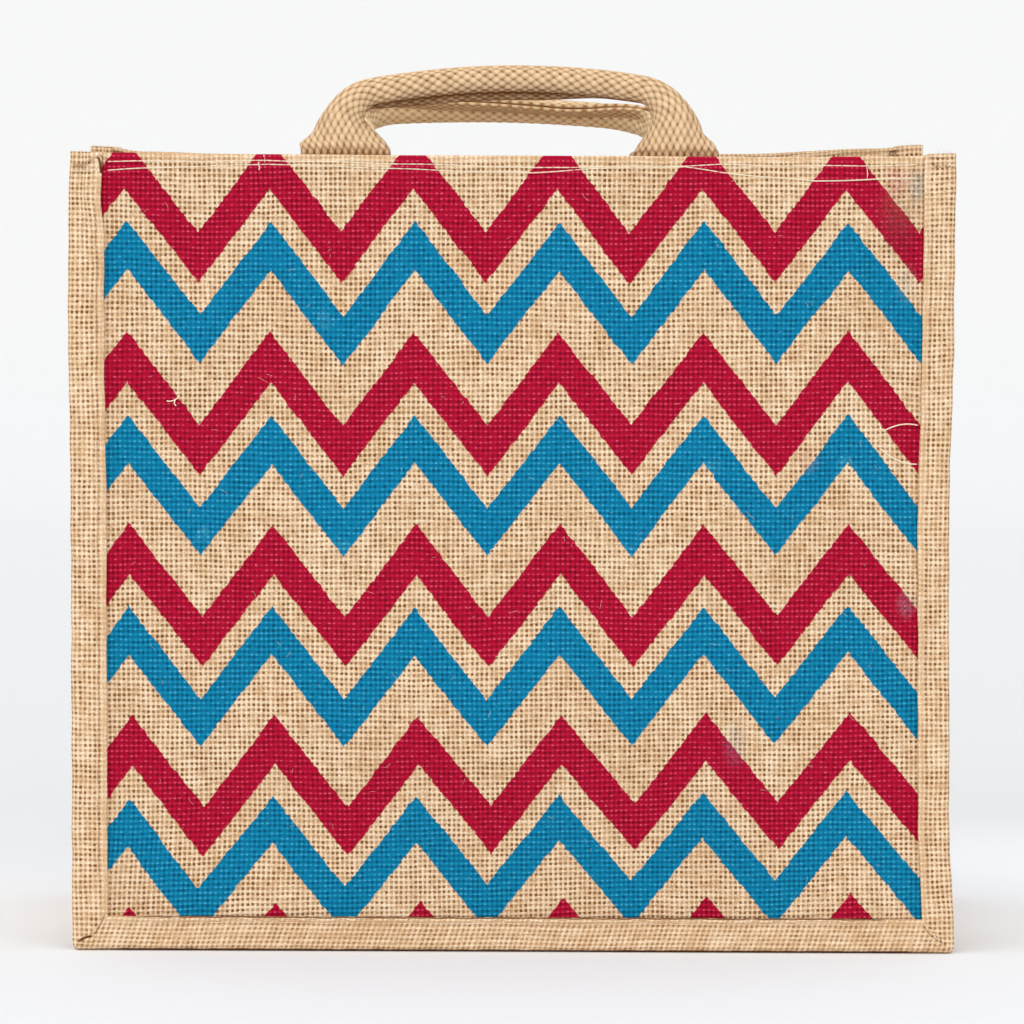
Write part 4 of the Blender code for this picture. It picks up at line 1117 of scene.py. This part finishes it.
# %% [markdown]
# ## Cotton webbing
# Undyed cotton is softer and warmer than the jute, with no open pores. Each pebble gets a painted highlight,
# and the hollows between them are brown with painted shade and with handling. The mesh keeps each point's
# height on its pebble, so the colour follows the relief. Fine fibres are noise along the count. The back
# handle has a lighter copy of the same cotton as painted light.

# %% Webbing material and handles
def cotton_webbing(name, hollow_code, pebble_code):
    """Heavy cotton webbing: colour from the pebble's height with painted highlight and shade, and fibre
    streaks.
    """
    material, tree, shader = new_material(name, 0.9, 0.0)
    count = add(tree, "UVMap", uv_map="threads")
    height = add(tree, "Attribute", output=2, attribute_name="pebble")
    fibres = add(tree, "TexNoise", {"Vector": count, "Scale": 6.5, "Detail": 4.0, "Roughness": 0.85})
    tone = add(tree, "TexNoise", {"Vector": count, "Scale": 0.6, "Detail": 2.0})
    share = add(tree, "MapRange", (height, 0.12, 0.95, -0.05, 0.94), clamp=False)
    for noise, swing in ((fibres, 0.50), (tone, 0.12)):
        share = add(tree, "Math ADD", (share, add(tree, "MapRange", (noise, 0.3, 0.7, -swing, swing))))
    ramp = add(tree, "Mix", {"Factor": share, 6: linear(hollow_code), 7: linear(pebble_code)}, **COLOUR)
    bump = add(tree, "Bump", {"Strength": 1.0, "Distance": 0.45 * MM, "Height": fibres})
    tree.links.new(ramp, shader.inputs["Base Color"])
    tree.links.new(bump, shader.inputs["Normal"])
    return material


# The back handle's copy is the same cotton made lighter as painted light.
shaded_and_handled_cotton = cotton_webbing("undyed_cotton_webbing", "845329", "FFDBAE")
brightened_cotton = cotton_webbing("undyed_cotton_webbing_brightened", "B0763E", "FFE4B8")
front_handle, front_handle_flat = handle_sheet(
    "front_handle", shaded_and_handled_cotton, shade=1.1, lip_shade=0.0, lighter=0.0, **HANDLES["front_handle"])
back_handle, back_handle_flat = handle_sheet(
    "back_handle", brightened_cotton, shade=0.1, lip_shade=0.25, lighter=0.10, **HANDLES["back_handle"])
print("webbing cut to", np.round(front_handle_flat, 3), np.round(back_handle_flat, 3))

# %% [markdown]
# ## Sewing
# Two rows of pale thread hold each hem. By hand they would be hundreds of small curves. Here each row is one
# thin tube along a line, which dips into the cloth at every needle hole, and all rows are joined in one mesh.

# %% Sewing thread
def tubes(name, lines, radius, sides, material):
    """Round tubes along lines of equally many points: centre plus radius times cosine and sine of two ways.

    lines is an array of line, point and x y z. Every tube narrows almost to a point at its ends.
    """
    lines = np.asarray(lines)
    amount, points = lines.shape[:2]
    travel = np.gradient(lines, axis=1)
    travel /= np.linalg.norm(travel, axis=-1, keepdims=True) + 1e-12
    helper = np.where(np.abs(travel[..., 1:2]) < 0.8, (0.0, 1.0, 0.0), (1.0, 0.0, 0.0))
    one = np.cross(travel, helper)
    one /= np.linalg.norm(one, axis=-1, keepdims=True) + 1e-12
    two = np.cross(travel, one)
    turn = 2 * math.pi * np.arange(sides) / sides
    thick = np.ones(points)
    thick[0] = thick[-1] = 0.05
    ring = (one[..., None, :] * np.cos(turn)[:, None] + two[..., None, :] * np.sin(turn)[:, None])
    rings = lines[..., None, :] + ring * (radius * thick)[None, :, None, None]
    index = np.arange(amount * points * sides).reshape(amount, points, sides)
    here, there = index[:, :-1], index[:, 1:]
    quads = np.stack([here, np.roll(here, -1, axis=-1), np.roll(there, -1, axis=-1), there], axis=-1)
    caps = [index[:, 0, ::-1], index[:, -1]] if sides == 4 else []
    faces = np.concatenate([quads.reshape(-1, 4), *caps])
    uv = np.zeros((len(faces), 4, 2))
    return mesh_object(name, rings.reshape(-1, 3), faces, uv, material)


def sewing_cotton(name, code):
    """Twisted sewing thread: a pale, slightly glossy cotton with a slanting twist."""
    material, tree, shader = new_material(name, 0.7, 0.15)
    place = add(tree, "TexCoord", output=3)
    twist = add(tree, "TexNoise", {"Vector": place, "Scale": 1400.0, "Detail": 2.0})
    share = add(tree, "MapRange", (twist, 0.3, 0.7, 0.0, 1.0))
    tinted = add(tree, "Mix", {"Factor": share, 6: linear(code), 7: linear("FBEFD8")}, **COLOUR)
    tree.links.new(tinted, shader.inputs["Base Color"])
    return material


SEWN_POINTS = 640
SEWN_FROM = -0.1625
SEWN_TO = 0.1618
STITCH = 0.0034
# Heights of the two sewn rows on the front and on the back, read along the top edge in millimetres.
FRONT_ROWS = (
    ((-162, 317.0), (-146, 317.0), (-98, 317.9), (-41, 316.9), (9, 315.4), (27, 315.9), (69, 316.6),
     (84, 317.3), (121, 316.7), (160, 316.8)),
    ((-163, 313.2), (-146, 314.3), (-98, 316.5), (-50, 315.1), (-31, 314.4), (8, 313.4), (27, 314.9),
     (69, 316.2), (84, 314.0), (121, 310.5), (144, 311.1), (160, 311.5)),
)
BACK_ROWS = (((-162, 316.0), (0, 315.4), (160, 316.2)), ((-162, 312.0), (0, 312.6), (160, 311.8)))
# Three places where the needle went back and forth: x, and the heights between which the thread runs.
TACKS = ((-99.0, 317.6, 320.4), (-101.2, 314.4, 317.6), (141.6, 311.2, 316.8))


def hem_row(side, rows, inside, phase):
    """One sewn row along a hem: a height table read across, with a dip at each needle hole."""
    x = np.linspace(SEWN_FROM, SEWN_TO, SEWN_POINTS)
    table = np.array(rows) * MM
    z = np.interp(x, table[:, 0], table[:, 1]) + 0.15 * MM * np.sin(x / 0.0061 + phase)
    stitch = np.abs(np.sin(math.pi * (x / STITCH + phase))) ** 0.35
    out = 1 if inside else -1
    layer = out * (GAP / 2 + CLOTH)
    y = side * (SEAM - layer - out * (0.22 * stitch - 0.20) * MM)
    points = settle(np.stack([x, y, z + 0.0009], axis=-1))
    points[:, 1] += side * cockle(x, z)
    return points


hem_lines = [hem_row(side, row, inside, phase)
             for side, rows, phases in ((-1, FRONT_ROWS, (0.2, 1.7)), (1, BACK_ROWS, (0.9, 2.4)))
             for inside in (False, True)
             for row, phase in zip(rows, phases)]
for across, low, high in TACKS:
    nearest = hem_lines[0][np.argmin(np.abs(hem_lines[0][:, 0] - across * MM))]
    x = across * MM + 0.2 * MM * np.sin(np.linspace(0, 5, SEWN_POINTS))
    z = np.linspace(low, high, SEWN_POINTS) * MM
    hem_lines.append(np.stack([x, np.full(SEWN_POINTS, nearest[1]), z], axis=1))
pale_thread = sewing_cotton("pale_sewing_cotton", "E9D3B0")
hem_sewing = tubes("hem_sewing", hem_lines, 0.26 * MM, 4, pale_thread)

# %% [markdown]
# ## Stray fibres
# Jute is hairy. Along every edge short fibres stand off the cloth, and a few long ones curl over the front.
# Particles could grow them, but a few hundred thin curved tubes are lighter and never change. Each fibre is a
# parabola from its root: a straight way out plus a bend that grows with the square of the length.

# %% Fibres
chance = np.random.default_rng(11)
FACE_FIBRES = 220
FACE_DEPTH = -0.0916
STRAND_DEPTH = -0.0921


def fibre_lines(roots, ways, lengths, bends, points=6):
    """Curved fibres: root plus way times length, plus a bend that grows with the square."""
    share = np.linspace(0, 1, points)[None, :, None]
    return roots[:, None, :] + (ways * lengths[:, None])[:, None, :] * share \
        + (bends * lengths[:, None])[:, None, :] * share ** 2


def edge_fibres(points, ways, amount, longest):
    """Fibres from random places on a line of points, mostly along the given ways."""
    pick = chance.integers(0, len(points), amount)
    spread = chance.normal(0, 0.55, (amount, 3))
    way = ways[pick] + spread
    way /= np.linalg.norm(way, axis=1, keepdims=True)
    length = longest * chance.random(amount) ** 2 + 0.0004
    return fibre_lines(points[pick], way, length, chance.normal(0, 0.5, (amount, 3)))


def line_between(start, end, count=400):
    """Points from start to end on the square bag, settled."""
    return settle(np.array(start) + np.linspace(0, 1, count)[:, None] * (np.array(end) - np.array(start)))


def ways_of(points, way):
    """The same direction for every point."""
    return np.broadcast_to(np.array(way, float), points.shape)


edge_table = (
    # start  end  way  amount  longest
    ((-0.1775, -0.091, 0.002), (-0.1775, -0.091, 0.3215), (-1, -0.2, 0), 150, 0.0016),
    ((0.1775, -0.091, 0.002), (0.1775, -0.091, 0.3215), (1, -0.2, 0), 150, 0.0020),
    ((-0.1775, 0.090, 0.002), (-0.1775, 0.090, 0.3215), (-1, 0.2, 0), 80, 0.0016),
    ((0.1775, 0.090, 0.002), (0.1775, 0.090, 0.3215), (1, 0.2, 0), 80, 0.0016),
    ((-0.1765, -0.0905, 0.3217), (-0.1640, -0.0905, 0.3217), (0, -0.1, 1), 26, 0.0012),
    ((0.1765, -0.0905, 0.3217), (0.1660, -0.0905, 0.3217), (0, -0.1, 1), 40, 0.0026),
    ((-0.1765, 0.090, 0.3217), (-0.1640, 0.090, 0.3217), (0, 0.1, 1), 26, 0.0012),
    ((0.1765, 0.090, 0.3217), (0.1660, 0.090, 0.3217), (0, 0.1, 1), 26, 0.0012),
    ((-0.1600, -0.0905, 0.3212), (0.1600, -0.0905, 0.3212), (0, -0.2, 1), 90, 0.0009),
    ((-0.1600, 0.0905, 0.3212), (0.1600, 0.0905, 0.3212), (0, 0.2, 1), 90, 0.0009),
)
fibres = []
for start, end, way, amount, longest in edge_table:
    points = line_between(start, end)
    fibres.append(edge_fibres(points, ways_of(points, way), amount, longest))
face_x = chance.uniform(-0.155, 0.155, FACE_FIBRES)
face_z = chance.uniform(0.020, 0.312, FACE_FIBRES)
face = settle(np.stack([face_x, np.full(FACE_FIBRES, FACE_DEPTH), face_z], axis=1))
way_x = chance.normal(0, 1, FACE_FIBRES)
way_z = chance.normal(0, 1, FACE_FIBRES)
face_ways = np.stack([way_x, np.full(FACE_FIBRES, -0.12), way_z], axis=1)
face_ways /= np.linalg.norm(face_ways, axis=1, keepdims=True)
face_lengths = chance.uniform(0.0010, 0.0035, FACE_FIBRES)
face_bends = chance.normal(0, 0.35, (FACE_FIBRES, 3)) * (1, 0.1, 1)
fibres.append(fibre_lines(face, face_ways, face_lengths, face_bends))
# Long fibres that lie over the front: where each starts, its way and its bend, across and up, in millimetres.
LOOSE = (
    ((149.8, 210.3), (14.6, 8.7), (-0.4, -6.2)), ((149.2, 203.5), (14.8, -13.4), (0.0, 7.2)),
    ((-138.0, 222.0), (5.5, -1.5), (0.0, 3.5)), ((-134.0, 223.0), (-3.0, -4.0), (3.0, 1.0)),
)
strands = []
for (across, up), way, bend in LOOSE:
    root = settle(np.array([across * MM, STRAND_DEPTH, up * MM]))
    strands.append(fibre_lines(root[None], np.array([[way[0], -0.9, way[1]]]) * MM, np.ones(1),
                               np.array([[bend[0], 0.9, bend[1]]]) * MM, points=24))
fibre_jute = sewing_cotton("loose_jute_fibre", "F0DDBC")
stray_fibres = tubes("stray_fibres", np.concatenate(fibres), 0.035 * MM, 4, fibre_jute)
loose_strands = tubes("loose_strands", np.concatenate(strands), 0.24 * MM, 6, fibre_jute)

# %% [markdown]
# ## Every piece takes its place
# Each sheet rides on the one rigid body and stands in for its CAD node, which is hidden. The table beside it
# lists the node's finish, the size it was cut to, how it is held and what it rests on.

declared = (
    # piece  node  finish  flat size  how it is held  what it rests on
    (front_panel, "front_panel", "front_panel_jute", front_flat, "stretched",
     ["front_binding_cloth", "gusset_cloth"]),
    (back_panel, "back_panel", "back_panel_jute", back_flat, "stretched",
     ["back_binding_cloth", "gusset_cloth"]),
    (gusset, "gusset", "gusset_jute", gusset_flat, "stretched",
     ["front_binding_cloth", "back_binding_cloth"]),
    (front_binding, "front_binding", "front_binding_jute", front_binding_flat, "folded",
     ["front_panel_cloth"]),
    (back_binding, "back_binding", "back_binding_jute", back_binding_flat, "folded",
     ["back_panel_cloth"]),
    (front_handle, "front_handle", "front_handle_cotton", front_handle_flat, "folded",
     ["front_panel_cloth"]),
    (back_handle, "back_handle", "back_handle_cotton", back_handle_flat, "folded",
     ["back_panel_cloth"]),
)
for piece, node, finish, flat, held, rests in declared:
    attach(piece, "root")
    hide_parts(node)
# Thread and fibre that the CAD source leaves out, and the finish that each is listed under.
drawn_only = (
    (hem_sewing, "front_handle_cotton"),
    (stray_fibres, "gusset_jute"),
    (loose_strands, "front_panel_jute"),
)
for piece, finish in drawn_only:
    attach(piece, "root")
triangles = {row[0].name: sum(len(face.vertices) - 2 for face in row[0].data.polygons)
             for row in declared + drawn_only}
print(len(declared), "sheets declared, triangles", triangles, "in all", sum(triangles.values()))

# %% [markdown]
# ## The studio
# The bag stands on a white sweep in soft light: a pale sky from all round and one very wide sun-like lamp
# from the upper left in front. Area lamps would do, but the wide sun lights floor and wall evenly. Painted
# shade makes the paper a little greyer behind the bag and up the wall than in front, and a painted pool of
# light makes it whitest round the bag's foot, where the cloth throws its own warm shade on it.

# %% Floor and light
SWEEP_HALF = 5.0
SWEEP_BEND = 2.2        # where behind the bag the floor starts to rise
SWEEP_RADIUS = 1.2


def sweep_floor():
    """A floor that rises in a quarter circle behind the bag and goes on as a wall."""
    turn = np.linspace(0, math.pi / 2, 20)[1:]
    front = np.linspace(-SWEEP_HALF, SWEEP_BEND, 30)
    depth = np.concatenate([front, SWEEP_BEND + SWEEP_RADIUS * np.sin(turn), [SWEEP_BEND + SWEEP_RADIUS]])
    rise = np.concatenate([np.zeros(len(front)), SWEEP_RADIUS * (1 - np.cos(turn)), [SWEEP_HALF]])
    across = np.linspace(-SWEEP_HALF, SWEEP_HALF, 12)
    grid = np.stack(np.broadcast_arrays(across[None, :], depth[:, None], rise[:, None] - 0.0001), axis=-1)
    index = np.arange(grid.shape[0] * grid.shape[1]).reshape(grid.shape[:2])
    quads = np.stack([index[:-1, :-1], index[:-1, 1:], index[1:, 1:], index[1:, :-1]], axis=-1)
    mesh = bpy.data.meshes.new("sweep")
    mesh.from_pydata(grid.reshape(-1, 3).tolist(), [], quads.reshape(-1, 4).tolist())
    mesh.shade_smooth()
    thing = bpy.data.objects.new("sweep", mesh)
    bpy.context.scene.collection.objects.link(thing)
    return thing


def sweep_paper():
    """White paper with painted shade behind the bag and up the wall, and painted light by its foot."""
    material, tree, shader = new_material("white_sweep_paper", 0.9, 0.0)
    shader.inputs["Specular IOR Level"].default_value = 0.0
    place = add(tree, "TexCoord", output=3)
    behind, height = (add(tree, "SeparateXYZ", (place,), output=axis) for axis in (1, 2))
    shrunk = add(tree, "VectorMath MULTIPLY_ADD", (place, (1 / 0.34, 1 / 0.26, 1.0), (-0.44, 0.0, 0.0)))
    away = add(tree, "VectorMath LENGTH", (shrunk,), output=1)
    foot_light_pool = add(tree, "MapRange", (away, 0.60, 1.60, 1.0, 0.0), **SMOOTH)
    beside = add(tree, "MapRange", (behind, -0.10, 0.01, 0.0, 1.0), **SMOOTH)
    # Painted shade greys the paper behind the bag and up the wall; a bluish painted pool of light whitens it
    # beside the bag's foot.
    masks = (
        (add(tree, "MapRange", (behind, 0.05, 0.50, 0.0, 1.0), **SMOOTH), "E1E2E3"),
        (add(tree, "MapRange", (height, 0.0, 0.15, 0.0, 1.0), **SMOOTH), "E0E0DF"),
        (add(tree, "Math MULTIPLY", (foot_light_pool, beside)), "F6FAFF"),
    )
    tone = linear("ECEEF0")
    for share, code in masks:
        tone = add(tree, "Mix", {"Factor": share, 6: tone, 7: linear(code)}, **COLOUR)
    tree.links.new(tone, shader.inputs["Base Color"])
    return material


floor = sweep_floor()
floor.data.materials.append(sweep_paper())


def aimed_lamp(name, kind, place, target, **settings):
    """A lamp of a kind at a place, turned to a target."""
    lamp = bpy.data.lights.new(name, kind)
    for key, value in settings.items():
        setattr(lamp, key, value)
    thing = bpy.data.objects.new(name, lamp)
    thing.location = place
    thing.rotation_euler = (Vector(target) - Vector(place)).to_track_quat("-Z", "Y").to_euler()
    bpy.context.scene.collection.objects.link(thing)
    return thing


aimed_lamp("key_lamp", "SUN", (-0.6, -2.2, 2.7), (0.0, 0.0, 0.0), energy=1.48, angle=math.radians(90))
sky = bpy.data.worlds.new("pale_sky")
bpy.context.scene.world = sky
sky.use_nodes = True
sky.node_tree.nodes["Background"].inputs[0].default_value = linear("F8F9FB")
sky.node_tree.nodes["Background"].inputs[1].default_value = 0.82
bpy.context.scene.view_settings.view_transform = "Standard"
print("studio ready")
